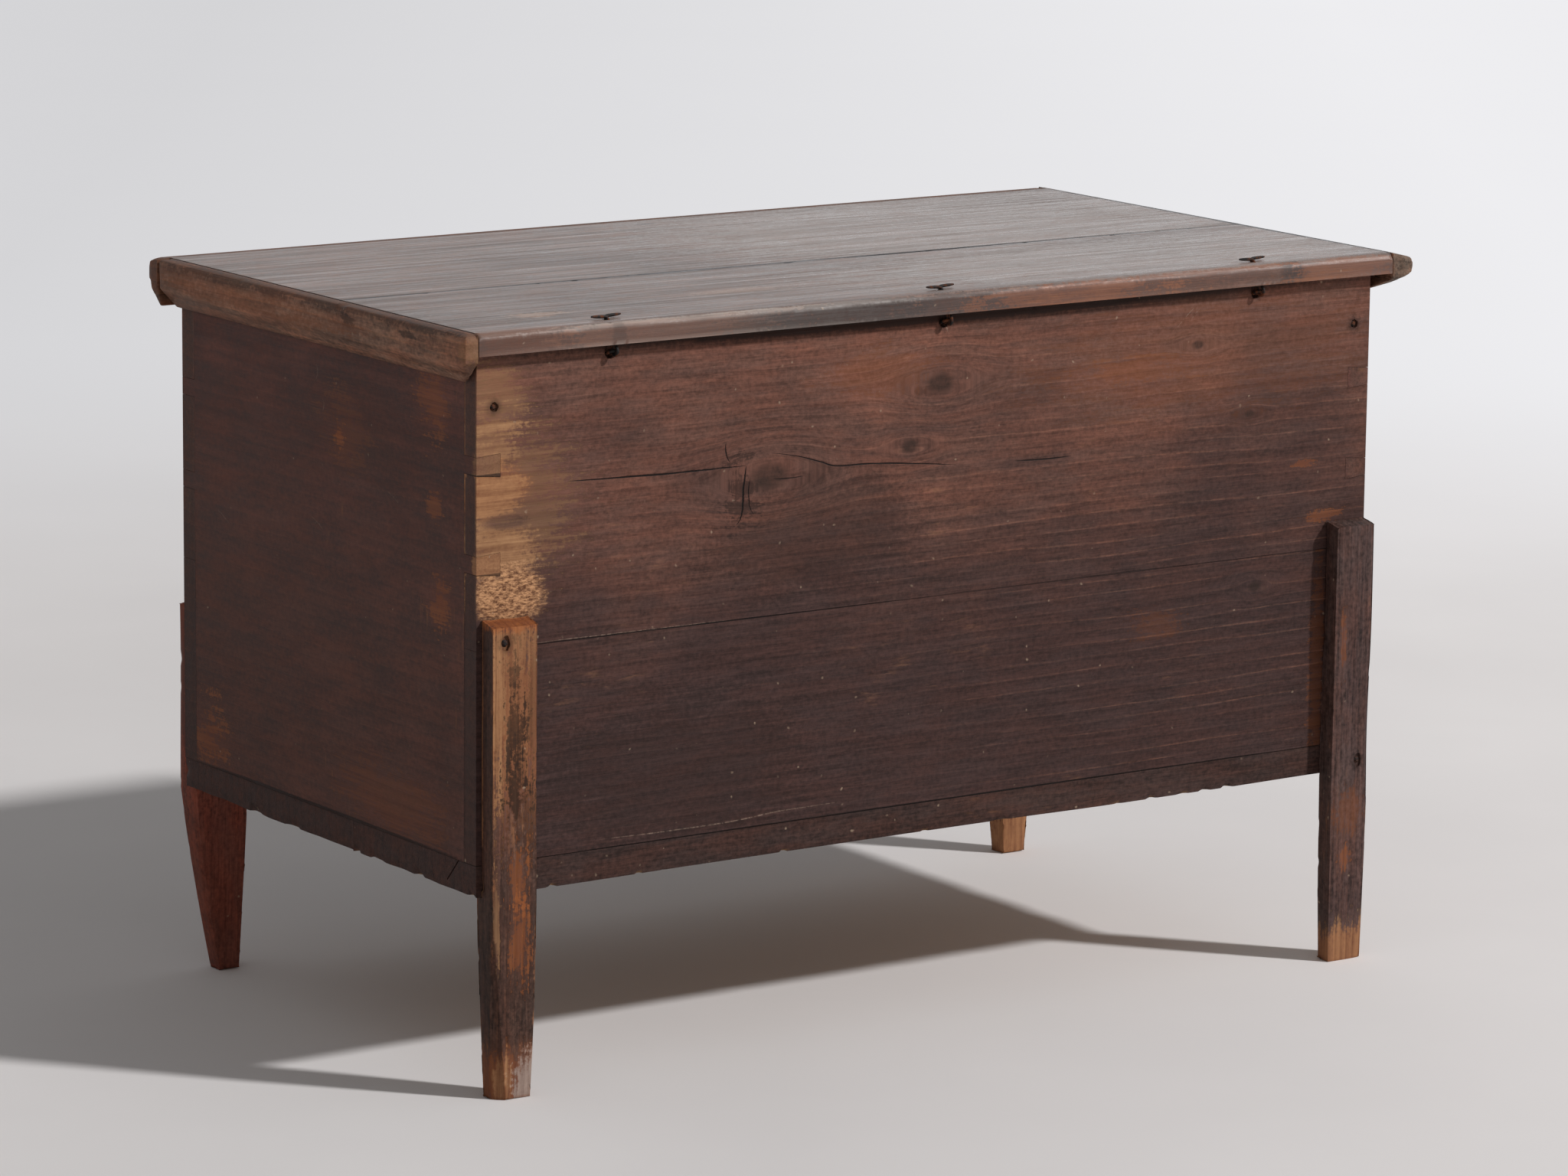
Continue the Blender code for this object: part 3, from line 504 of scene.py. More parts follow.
    def patched(
        self, wood: Wood, patches: tuple[Patch, ...], colour: Socket, tones: dict[BareAndPaintedLight, Socket]
    ) -> tuple[Socket, Socket | None]:
        """Lays the patches over the colour: bare places, dark marks, and painted shade and light.

        Args:
            wood: What the layers share.
            patches: The places, the lowest first.
            colour: Colour so far.
            tones: What each kind of place shows.

        Returns:
            The colour, and a mask of the gnawed place if there is one.
        """
        add, noise = wood.recipe.add, wood.noise
        shares = (noise["fibre"], 0.9), (noise["mottle"], 1.4), (noise["grit"], 1.2)
        ragged = wood.recipe.total(*shares, start=-1.75)
        gnawed: Socket | None = None
        for patch in patches:
            mask = self.bare_and_painted_place(wood.recipe, wood.along, wood.across, ragged, patch)
            mask = add("Math.MULTIPLY", mask, add("MapRange", wood.fields["rim"], 0.0, 1.0, 1.0, patch.edges))
            if patch.kind is GNAWED:
                gnawed = mask
            colour = add("Mix.RGBA", mask, colour, tones[patch.kind])
        return colour, gnawed

    def dusted(self, recipe: Recipe, place: Socket, colour: Socket) -> Socket:
        """Scatters pale specks of lime and dust, a millimetre or two across, in some of a net of cells.

        Args:
            recipe: Material being filled.
            place: Coordinates.
            colour: Colour so far.

        Returns:
            The colour.
        """
        add = recipe.add
        drift = add("Mix.VECTOR", 0.006, place, add("TexNoise", place, per_metre(9)[0], 2.0, out="Color"))
        cells = add(
            "TexVoronoi", {"Vector": drift, "Scale": per_metre(12)[0], "Randomness": 1.0}
        ).node.outputs
        dot = add("MapRange", cells[0], 0.05, 0.13, 1.0, 0.0)
        chosen = add("MapRange", add("SeparateXYZ", cells[1]), 0.7, 0.95, 0.0, self.speck)
        return add("Mix.RGBA", add("Math.MULTIPLY", dot, chosen), colour, "#a8917b")

    def material(self, marks: Marks) -> bpy.types.Material:
        """Builds the finish with the marks of one board.

        Args:
            marks: Shakes, knots and bare places.

        Returns:
            The material.
        """
        recipe = Recipe(bpy.data.materials.new(self.name))
        add, total = recipe.add, recipe.total
        place = add("TexCoord", out="Object")
        xyz = add("SeparateXYZ", place).node.outputs
        along, across, deep = (xyz[i] for i in self.grain.value)
        bent, heart = self.flow(recipe, along, across, marks.knots)
        noise = self.noises(recipe, add("CombineXYZ", along, bent, deep))
        fibre, mottle, grit = noise["fibre"], noise["mottle"], noise["grit"]
        fields = {
            n: add("Attribute", out="Fac", attribute_name=n) for n in ("rim", "arris", "inside", "iron")
        }
        wood = Wood(recipe, along, across, bent, xyz[2], noise, fields)

        late, line = self.rings(wood, marks.rings)
        shade = total((fibre, 0.9), (late, 0.13), (mottle, 0.8), (grit, 0.4))
        shade = add("MapRange", shade, 0.76, 1.4, 0.0, 1.0)
        raw = add("Mix.RGBA", shade, self.raw_light, self.raw_dark)
        film, tone, rough = self.film(wood, late, line)
        colour, bald = self.rubbed(wood, film, raw)
        tones = {
            WORN: raw,
            GNAWED: add("Mix.RGBA", add("MapRange", noise["bite"], 0.38, 0.62), "#66422d", "#c7956c"),
            ORANGE: add("Mix.RGBA", shade, "#b56c3c", "#783f25"),
            PALE: add("Mix.RGBA", shade, "#beb0a6", "#86756c"),
            BLACK: add("Mix.RGBA", shade, "#2a1e1a", "#140e0c"),
            DARK: film,
        }
        colour, gnawed = self.patched(wood, marks.patches, colour, tones)
        if heart:
            knot = add("Math.MULTIPLY", heart, add("MapRange", grit, 0.3, 0.65, 0.3, 0.9))
            colour = add("Mix.RGBA", knot, colour, "#2c211c")
        colour = self.dusted(recipe, place, colour)

        # Bare pine that never saw stain, browned by age, on the faces inside the box.
        aged = add("Mix.RGBA", tone, "#7d5e40", "#a07c54")
        aged = add("Mix.RGBA", add("Math.MULTIPLY", shade, 0.6), aged, "#5f4128")
        colour = add("Mix.RGBA", fields["inside"], colour, aged)

        # Iron blackens the wood round it.
        halo = total((grit, 0.012), start=fields["iron"])
        halo = add("MapRange.SMOOTHSTEP", halo, 0.007, 0.018, 0.7, 0.0)
        colour = add("Mix.RGBA", halo, colour, "#1f1613")

        scratch = self.cracks(recipe, along, across, fibre, marks.scratches)
        if scratch:
            broken = add("MapRange", grit, 0.38, 0.6, 0.0, 0.65)
            colour = add("Mix.RGBA", add("Math.MULTIPLY", scratch, broken), colour, "#968070")
        crack = self.cracks(recipe, along, across, fibre, marks.shakes)
        if crack:
            colour = add("Mix.RGBA", crack, colour, "#0d0807")

        # Rubbed and bare wood is duller; a polished film is glossier in streaks and towards one end.
        dull = add("MapRange", rough, *ROUGH_TONE, self.rough - 0.1, self.rough + 0.12)
        dull = total((bald, 0.18), start=dull)
        if self.streaky:
            satin = add("MapRange", noise["streak"], 0.3, 0.7, 0.16, -0.1)
            slant = add("MapRange", along, -0.5, 0.5, -0.07, 0.07)
            dull = total((satin, 1.0), (fields["rim"], 0.3), (slant, 1.0), start=dull)
        dull = add("Math.MULTIPLY_ADD", fields["inside"], 0.25, dull, use_clamp=True)

        swell = [(mottle, 0.7), (fibre, 0.6), (late, 0.15)]
        if crack:
            swell.append((crack, -2.5))
        if gnawed:
            swell.append((add("Math.MULTIPLY", gnawed, noise["bite"]), 2.5))
        bump = add("Bump", {"Strength": 0.55, "Distance": 0.001, "Height": total(*swell)})
        gloss = {"Roughness": dull, "Specular IOR Level": self.specular, "IOR": 1.5}
        shader = add("BsdfPrincipled", {"Base Color": colour, "Normal": bump, **gloss})
        add("OutputMaterial", {"Surface": shader})
        return recipe.holder


@dataclass(frozen=True)
class WroughtIron:
    """Hand-drawn wrought-iron wire and nails: near black with a brown bloom of rust in the hollows."""

    name: str = "wrought_iron_hand_forged"
    scale_colour: str = "#1f1c1b"
    rust_colour: str = "#6a3b22"

    def material(self) -> bpy.types.Material:
        """Builds the material."""
        recipe = Recipe(bpy.data.materials.new(self.name))
        add = recipe.add
        place = add("TexCoord", out="Object")
        bloom = add("TexNoise", {"Vector": place, "Scale": per_metre(6)[0], "Detail": 5.0, "Roughness": 0.7})
        # Forge scale is finer than the render shows, so its pits are drawn 1.6 mm wide.
        pits = add("TexNoise", {"Vector": place, "Scale": per_metre(1.6)[0], "Detail": 3.0})
        rusty = add("MapRange.SMOOTHSTEP", bloom, 0.46, 0.62, 0.0, 0.85)
        colour = add("Mix.RGBA", rusty, self.scale_colour, self.rust_colour)
        metal = add("MapRange", rusty, 0.0, 0.85, 0.35, 0.0)
        dull = add("MapRange", rusty, 0.0, 0.85, 0.62, 0.9)
        bump = add("Bump", {"Strength": 0.5, "Distance": 0.0004, "Height": pits})
        shader = add(
            "BsdfPrincipled",
            {
                "Base Color": colour, "Metallic": metal, "Roughness": dull, "Specular IOR Level": 0.25,
                "Normal": bump
            }
        )
        add("OutputMaterial", {"Surface": shader})
        return recipe.holder


def value_noise(points: Array, size: tuple[float, float, float], seed: int) -> Array:
    """Gives smooth noise at each point.

    Args:
        points: Points in metres, one a row.
        size: Size of the noise's swells along each axis, in metres.
        seed: Fixed number that picks the pattern.

    Returns:
        Values from -1 to 1.
    """
    q = points / np.array(size) + seed * 17.31
    base = np.floor(q).astype(np.int64)
    f = q - base
    f = f * f * (3 - 2 * f)
    total = np.zeros(len(points))
    for corner in itertools.product((0, 1), repeat=3):
        c = base + np.array(corner)
        h = (c[:, 0] * 73856093) ^ (c[:, 1] * 19349663) ^ (c[:, 2] * 83492791)
        h = ((h ^ (h >> 13)) * 1274126177) & 0x7FFFFFFF
        total += (h % 65521) / 65520 * np.prod(np.where(corner, f, 1 - f), axis=1)
    return total * 2 - 1


def coordinates(mesh: bpy.types.Mesh, what: str = "co") -> Array:
    """Reads a vector of every vertex.

    Args:
        mesh: Mesh to read.
        what: "co" for the place or "normal" for the normal.

    Returns:
        One row for each vertex.
    """
    out = np.zeros(len(mesh.vertices) * 3, np.float32)
    mesh.vertices.foreach_get(what, out)
    return out.reshape(-1, 3).astype(float)


def evaluated(obj: bpy.types.Object) -> bpy.types.Mesh:
    """Gives the mesh that the object's modifiers make, as a plain mesh."""
    graph = bpy.context.evaluated_depsgraph_get()
    return bpy.data.meshes.new_from_object(obj.evaluated_get(graph))


def take_out_slivers(mesh: bpy.types.Mesh) -> None:
    """Takes out the edges and faces of no size that cutting the holes leaves in a softened mesh.

    Args:
        mesh: Mesh to change.
    """
    shape = bmesh.new()
    shape.from_mesh(mesh)
    bmesh.ops.dissolve_degenerate(shape, dist=SLIVER, edges=shape.edges[:])
    bmesh.ops.triangulate(shape, faces=[f for f in shape.faces if len(f.verts) > 4])
    shape.to_mesh(mesh)
    shape.free()


@dataclass
class Iron:
    """Where the nails' heads and the hinge pins are."""

    heads: dict[str, tuple[Vector, Vector]] = field(default_factory=dict)
    pins: list[Vector] = field(default_factory=list)

    @classmethod
    def read(cls, nodes: dict[str, bpy.types.Object]) -> Iron:
        """Finds each nail's head and outward direction from its solid.

        Args:
            nodes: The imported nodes.

        Returns:
            The places.
        """
        found = cls()
        for name, obj in nodes.items():
            if "nail" in name:
                co = coordinates(obj.data)
                middle = (co.min(0) + co.max(0)) / 2
                axis = int(np.argmax(co.max(0) - co.min(0)))
                off = co - middle
                off[:, axis] = 0
                spread = np.linalg.norm(off, axis=1)
                side = np.sign((co[spread > 0.8 * spread.max(), axis] - middle[axis]).mean())
                out = Vector([side if i == axis else 0.0 for i in range(3)])
                tip = middle.copy()
                tip[axis] = co[:, axis].max() if side > 0 else co[:, axis].min()
                found.heads[name] = (Vector(tip), out)
            elif name.startswith("hinge"):
                low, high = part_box(name)
                found.pins.append((low + high) / 2)
        return found


@dataclass
class Timber:
    """One wooden piece, carved from a copy of its solid.

    A covered side is (axis, -1 or 1): it meets another piece, so its arrises stay square. A split is an open
    crack in the right end, between two points (y, z). Soften is how many passes round every arris.
    """

    node: str
    body: str
    slot: str
    voxel: float
    grain: Grain
    inner: tuple[Vector, ...] = ()
    covered: tuple[tuple[int, int], ...] = ()
    filled: tuple[str, ...] = ()
    wear: float = 0.0012
    chips: float = 0.0018
    plane: float = 0.00025
    seed: int = 1
    hole_stretch: float = 1.0
    reach: float = 0.007
    split: tuple[Pair, Pair] | None = None
    soften: int = 0

    def carve(self, source: bpy.types.Object, iron: Iron) -> bpy.types.Object:
        """Makes the worn piece.

        Args:
            source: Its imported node.
            iron: Places of nails and pins.

        Returns:
            The piece, with its fields of arris, iron, inside and rim.
        """
        mesh, normal = self.fine_mesh(source, iron)
        self.weather(mesh, normal)
        mesh = self.opened(mesh, iron)
        if self.soften:
            take_out_slivers(mesh)
        self.write_fields(mesh, iron)
        mesh.shade_smooth()
        mesh.set_sharp_from_angle(angle=SHARP_ANGLE)
        piece = bpy.data.objects.new(self.node + "_worn", mesh)
        bpy.context.scene.collection.objects.link(piece)
        return piece

    def fine_mesh(self, source: bpy.types.Object, iron: Iron) -> tuple[bpy.types.Mesh, Array]:
        """Copies the solid as an even fine mesh whose arrises stay sharp, with some nail holes filled.

        Args:
            source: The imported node.
            iron: Places of the nails.

        Returns:
            The mesh, and its normals from before its arrises were drawn sharp.
        """
        shape = bmesh.new()
        shape.from_mesh(source.data)
        bmesh.ops.remove_doubles(shape, verts=shape.verts[:], dist=MERGE)
        plugs = [iron.heads[name] for name in self.filled]
        bars = [e for e in shape.edges if len(e.link_faces) == 2 and e.calc_face_angle() > ARRIS_ANGLE]
        bars = [e for e in bars if e.calc_length() > SHORTEST_ARRIS]
        ends = np.array([[v.co[:] for v in e.verts] for e in bars])
        tally = {v: sum(v in e.verts for e in bars) for e in bars for v in e.verts}
        corners = np.array([v.co[:] for v, count in tally.items() if count > 2]).reshape(-1, 3)
        for tip, out in plugs:
            turn = out.to_track_quat("Z", "Y").to_matrix().to_4x4()
            turn.translation = tip - out * PLUG_SINK
            bmesh.ops.create_cone(
                shape, cap_ends=True, segments=HOLE_SIDES, radius1=PLUG_RADIUS, radius2=PLUG_RADIUS,
                depth=PLUG_DEPTH, matrix=turn
            )
        blank = bpy.data.meshes.new(self.node + "_blank")
        shape.to_mesh(blank)
        shape.free()
        block = bpy.data.objects.new(self.node + "_blank", blank)
        bpy.context.scene.collection.objects.link(block)
        remesh = block.modifiers.new("fine", "REMESH")
        remesh.mode = "VOXEL"
        remesh.voxel_size = self.voxel
        if self.soften:
            soft = block.modifiers.new("soft", "SMOOTH")
            soft.factor, soft.iterations = 0.5, self.soften
        mesh = evaluated(block)
        bpy.data.objects.remove(block)
        bpy.data.meshes.remove(blank)
        mesh.materials.clear()
        normal = coordinates(mesh, "normal")
        if not self.soften:
            co = self.sharpened(coordinates(mesh), normal, ends, corners)
            mesh.vertices.foreach_set("co", co.astype(np.float32).ravel())
            mesh.update()
        return mesh, normal

    def sharpened(self, co: Array, normal: Array, ends: Array, corners: Array) -> Array:
        """Draws the vertices beside an arris onto it, and those beside a corner into the corner.

        Args:
            co: Places of the vertices.
            normal: Their normals; a slanted one lies on a rounded arris.
            ends: Both ends of every arris.
            corners: Every corner.

        Returns:
            The new places.
        """
        slanted = np.abs(normal).max(axis=1) < 0.93
        best, goal = np.where(slanted, 0.95, 0.6) * self.voxel, co.copy()
        for start, stop in ends:
            low, high = np.minimum(start, stop) - self.voxel, np.maximum(start, stop) + self.voxel
            pick = np.flatnonzero(((co >= low) & (co <= high)).all(axis=1))
            run = stop - start
            part = np.clip((co[pick] - start) @ run / max(run @ run, 1e-12), 0, 1)
            foot = start + part[:, None] * run
            gap = np.linalg.norm(co[pick] - foot, axis=1)
            closer = gap < best[pick]
            best[pick[closer]], goal[pick[closer]] = gap[closer], foot[closer]
        for corner in corners:
            goal[np.linalg.norm(goal - corner, axis=1) < self.voxel] = corner
        return goal

    def arris_distance(self, co: Array) -> Array:
        """Measures how far each vertex is from the nearest arris.

        Args:
            co: Places of the vertices.

        Returns:
            Distances in metres.
        """
        long = self.grain.value[0]
        slot = ((co[:, long] - co[:, long].min()) / ARRIS_STEP).astype(int)
        gaps = []
        for axis in range(3):
            count = 1 if axis == long else slot.max() + 1
            spot = np.zeros(len(co), int) if axis == long else slot
            least, most = np.full(count, 1e9), np.full(count, -1e9)
            np.minimum.at(least, spot, co[:, axis])
            np.maximum.at(most, spot, co[:, axis])
            from_low = np.ones(len(co)) if (axis, -1) in self.covered else co[:, axis] - least[spot]
            from_high = np.ones(len(co)) if (axis, 1) in self.covered else most[spot] - co[:, axis]
            gaps.append(np.minimum(from_low, from_high))
        return np.sort(np.array(gaps), axis=0)[1]

    def weather(self, mesh: bpy.types.Mesh, normal: Array) -> None:
        """Wears the arrises, chips them here and there and leaves the plane's low swells, all inwards.

        Args:
            mesh: Mesh to change.
            normal: Which way each vertex faces.
        """
        co = coordinates(mesh)
        arris = self.arris_distance(co)
        near = np.clip(1 - arris / self.reach, 0, 1) ** 1.5
        long = [SWELL_ACROSS] * 3
        long[self.grain.value[0]] = SWELL_ALONG
        soft = 0.5 + 0.5 * value_noise(co, tuple(long), self.seed)
        bite = np.clip(value_noise(co, (CHIP_SIZE,) * 3, self.seed + 5) - CHIP_START, 0, 1) / CHIP_SPAN
        swell = 0.5 + 0.5 * value_noise(co, tuple(v * 1.6 for v in long), self.seed + 9)
        close = np.clip(1 - arris / CHIP_REACH, 0, 1)
        depth = self.wear * near * soft**1.5 + self.chips * close * bite + self.plane * swell
        for axis, side in self.covered:
            depth[normal[:, axis] * side > 0.5] = 0
        mesh.vertices.foreach_set("co", (co - normal * depth[:, None]).astype(np.float32).ravel())
        mesh.update()

    def opened(self, mesh: bpy.types.Mesh, iron: Iron) -> bpy.types.Mesh:
        """Opens a ragged hole over each nail head that lies in this piece, and its split.

        Args:
            mesh: The worn mesh.
            iron: Places of the nails.

        Returns:
            The mesh with its holes.
        """
        low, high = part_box(self.node)
        slack = Vector((HEAD_SLACK,) * 3)
        cutter = bmesh.new()
        for n, (name, (tip, out)) in enumerate(iron.heads.items()):
            if name in self.filled or not all(a <= t <= b for a, t, b in zip(low - slack, tip, high + slack)):
                continue
            turn = out.to_track_quat("Z", "Y").to_matrix().to_4x4()
            drill = bmesh.ops.create_cone(
                cutter, cap_ends=True, segments=HOLE_SIDES, radius1=HOLE_FOOT, radius2=HOLE_MOUTH,
                depth=HOLE_DEPTH
            )["verts"]
            for k, v in enumerate(drill):
                v.co.x *= 1 + HOLE_RAGGED * math.sin(k * 2.1 + n)
                v.co.y *= 1 + HOLE_RAGGED * math.cos(k * 1.7 + n)
                spot = turn @ v.co
                spot[self.grain.value[0]] *= self.hole_stretch
                v.co = spot + tip + out * HOLE_RISE
        if self.split:
            (y0, z0), (y1, z1) = self.split
            middle = Matrix.Translation((high.x, (y0 + y1) / 2, (z0 + z1) / 2))
            turn = Matrix.Rotation(math.atan2(z1 - z0, y1 - y0), 4, "X")
            blade = Matrix.Diagonal((SPLIT_DEPTH, math.hypot(y1 - y0, z1 - z0), SPLIT_WIDTH, 1.0))
            bmesh.ops.create_cube(cutter, size=1.0, matrix=middle @ turn @ blade)
        if not cutter.verts:
            cutter.free()
            return mesh
        holes = bpy.data.meshes.new(self.node + "_holes")
        cutter.to_mesh(holes)
        cutter.free()
        body = bpy.data.objects.new(self.node + "_body", mesh)
        drills = bpy.data.objects.new(self.node + "_drills", holes)
        for obj in (body, drills):
            bpy.context.scene.collection.objects.link(obj)
        boolean = body.modifiers.new("holes", "BOOLEAN")
        boolean.operation = "DIFFERENCE"
        boolean.solver = "MANIFOLD"
        boolean.object = drills
        cut = evaluated(body)
        if len(cut.polygons) < LEAST_LEFT * len(mesh.polygons):
            raise RuntimeError(self.node + " was lost when its holes were cut")
        cut.materials.clear()
        cut.polygons.foreach_set("material_index", np.zeros(len(cut.polygons), np.int32))
        for obj in (body, drills):
            bpy.data.objects.remove(obj)
        return cut

    def write_fields(self, mesh: bpy.types.Mesh, iron: Iron) -> None:
        """Writes what the finish reads: distances to arrises and iron, faces inside the box, and edges.

        Args:
            mesh: Finished mesh.
            iron: Places of nails and pins.
        """
        co, normal = coordinates(mesh), coordinates(mesh, "normal")
        far = np.full(len(co), IRON_REACH)
        for spot in [tip for name, (tip, _) in iron.heads.items() if name not in self.filled] + iron.pins:
            far = np.minimum(far, np.linalg.norm(co - np.array(spot), axis=1))
        low = np.array((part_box("left_end_board")[1].x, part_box("front_upper_board")[1].y)) - WALL_SLACK
        high = np.array((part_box("right_end_board")[0].x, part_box("back_upper_board")[0].y)) + WALL_SLACK
        walled = ((co[:, :2] > low) & (co[:, :2] < high)).all(axis=1)
        inside = np.zeros(len(co))
        for way in self.inner:
            facing = np.clip((normal @ np.array(way) - 0.8) / 0.15, 0, 1)
            inside = np.maximum(inside, facing if way.z else facing * walled)
        rim = np.clip((0.8 - np.abs(normal[:, self.grain.value[2]])) / 0.5, 0, 1)
        for name, values in (
            ("arris", self.arris_distance(co)), ("iron", far), ("inside", inside), ("rim", rim)
        ):
            layer = mesh.attributes.new(name, "FLOAT", "POINT")
            layer.data.foreach_set("value", values.astype(np.float32))


def dress(piece: bpy.types.Object, timber: Timber, material: bpy.types.Material) -> None:
    """Gives a wooden piece its finish and hangs it on its body.

    Args:
        piece: The piece.
        timber: What it was carved from.
        material: Its finish.
    """
    piece.data.materials.append(material)
    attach(piece, timber.body)
    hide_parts(timber.node)
    LOG.info("%s: %d faces", piece.name, len(piece.data.polygons))


BACK_MARKS = Marks(
    shakes=(
        Shake(((0.225, 0.539), (0.260, 0.539), (0.294, 0.539), (0.340, 0.540), (0.413, 0.542)), 0.0011),
        Shake(
            (
                (-0.006, 0.519), (0.036, 0.524), (0.092, 0.529), (0.127, 0.530), (0.144, 0.535),
                (0.172, 0.543), (0.198, 0.548)
            ),
            0.0010
        ),
        Shake(((-0.135, 0.516), (-0.103, 0.516), (-0.070, 0.517)), 0.0009),
        Shake(((0.543, 0.242), (0.552, 0.2465), (0.561, 0.247)), 0.0009, True),
        Shake(((0.486, 0.236), (0.500, 0.2285), (0.514, 0.228), (0.539, 0.225)), 0.0013, True),
        Shake(((0.494, 0.216), (0.510, 0.222), (0.528, 0.2205)), 0.0008, True),
        Shake(((0.162, 0.524), (0.182, 0.5235), (0.197, 0.5245)), 0.0007),
        Shake(((0.02, 0.4006), (0.25, 0.4007), (0.48, 0.4006)), 0.0008),
        Shake(((-0.46, 0.4006), (-0.20, 0.4007), (0.06, 0.4006)), 0.0005),
    ),
    scratches=(
        Shake(((-0.276, 0.644), (-0.266, 0.636), (-0.255, 0.626)), 0.0008),
        Shake(((-0.282, 0.642), (-0.274, 0.635), (-0.270, 0.629)), 0.0006),
        Shake(((0.640, 0.005), (0.648, 0.008), (0.656, 0.007)), 0.0009, True),
        Shake(((0.235, 0.4013), (0.34, 0.4016), (0.448, 0.4015)), 0.0008),
    ),
    knots=(
        Knot(0.200, 0.527, 0.017), Knot(0.014, 0.596, 0.013), Knot(0.047, 0.541, 0.008),
        Knot(-0.280, 0.608, 0.006), Knot(-0.343, 0.538, 0.005)
    ),
    patches=(
        Patch(0.150, 0.470, 0.130, 0.060, BLACK, 0.22, 0.8),
        # Torn grain by the knot's cracks: dirt in the fibres, with painted shade among them.
        Patch(0.230, 0.515, 0.018, 0.030, BLACK, 0.45, 2.6),
        Patch(-0.290, 0.600, 0.190, 0.050, ORANGE, 0.10, 2.0),
        Patch(0.492, 0.618, 0.040, 0.034, WORN, 0.40, 1.2),
        Patch(0.495, 0.580, 0.034, 0.034, WORN, 0.50, 1.5),
        Patch(0.490, 0.540, 0.040, 0.028, ORANGE, 0.6, 0.8),
        Patch(0.490, 0.535, 0.036, 0.030, WORN, 0.6, 1.0),
        Patch(0.486, 0.486, 0.044, 0.030, WORN, 0.8, 1.0),
        Patch(0.468, 0.525, 0.064, 0.070, WORN, 0.3, 1.4),
        Patch(0.476, 0.512, 0.024, 0.008, DARK, 0.7, 1.2),
        Patch(0.474, 0.447, 0.042, 0.030, GNAWED, 1.0, 0.5),
        Patch(-0.409, 0.485, 0.016, 0.005, ORANGE, 0.35, 2.2),
        Patch(-0.438, 0.431, 0.022, 0.005, ORANGE, 0.32, 2.4),
        Patch(0.085, 0.610, 0.060, 0.022, ORANGE, 0.16, 2.0),
        Patch(-0.215, 0.590, 0.070, 0.014, ORANGE, 0.17, 2.0),
        # Painted shadow: a near-black band along the top of the back, where the lid's overhang casts its
        # shade.
        Patch(0.010, 0.662, 0.54, 0.0145, BLACK, 0.9, 0.2),
    ),
    rings=(0.24, -0.04),
)
BACK_LOW_MARKS = Marks(
    shakes=(Shake(((-0.55, 0.2094), (0.01, 0.2095), (0.57, 0.2094)), 0.0008),),
    scratches=(Shake(((0.118, 0.2205), (0.175, 0.2205), (0.258, 0.2165), (0.378, 0.2180)), 0.0008),),
    knots=(Knot(-0.354, 0.372, 0.006),),
    patches=(
        Patch(-0.432, 0.290, 0.010, 0.10, ORANGE, 0.2, 1.8),
        Patch(-0.235, 0.345, 0.034, 0.014, ORANGE, 0.13, 2.2),
        Patch(0.300, 0.270, 0.170, 0.080, BLACK, 0.22, 1.0),
        Patch(0.010, 0.2090, 0.540, 0.0020, BLACK, 0.8, 0.4),
    ),
    rings=(0.1, -0.3),
)
END_MARKS = Marks(
    scratches=(
        Shake(((0.600, -0.012), (0.608, -0.006), (0.616, -0.008)), 0.0007, True),
        Shake(((0.574, 0.002), (0.580, 0.005), (0.586, 0.003)), 0.0007, True),
        Shake(((-0.190, 0.455), (-0.178, 0.450), (-0.166, 0.444)), 0.0006),
        Shake(((0.110, 0.520), (0.128, 0.514), (0.142, 0.506)), 0.0005),
        Shake(((-0.020, 0.476), (-0.008, 0.472), (0.004, 0.466)), 0.0006),
    ),
    patches=(
        Patch(0.031, 0.557, 0.010, 0.013, ORANGE, 0.45, 2.8),
        Patch(0.040, 0.560, 0.040, 0.030, ORANGE, 0.16, 2.6),
        Patch(0.196, 0.612, 0.026, 0.028, ORANGE, 0.32, 2.6),
        Patch(0.196, 0.517, 0.010, 0.013, ORANGE, 0.34, 2.8),
        Patch(0.205, 0.437, 0.015, 0.017, ORANGE, 0.36, 2.8),
        Patch(-0.205, 0.237, 0.032, 0.028, ORANGE, 0.38, 2.8),
        Patch(0.120, 0.240, 0.090, 0.030, ORANGE, 0.16, 2.4),
        Patch(0.005, 0.2095, 0.300, 0.0030, BLACK, 0.95, 0.4),
        Patch(0.2653, 0.5623, 0.008, 0.018, WORN, 0.45, 1.2, 1.0),
        Patch(0.2653, 0.5535, 0.020, 0.0020, BLACK, 0.8, 0.5, 1.0),
        Patch(0.2653, 0.4753, 0.008, 0.018, ORANGE, 0.3, 1.2, 1.0),
        Patch(0.2653, 0.4753, 0.008, 0.018, WORN, 0.6, 1.2, 1.0),
        Patch(0.2653, 0.4660, 0.020, 0.0018, BLACK, 0.7, 0.5, 1.0),
    ),
)
FRONT_MARKS = Marks(
    knots=(Knot(-0.21, 0.56, 0.013), Knot(0.26, 0.47, 0.010)),
    shakes=(Shake(((-0.02, 0.57), (0.10, 0.566), (0.24, 0.571)), 0.0008),)
)


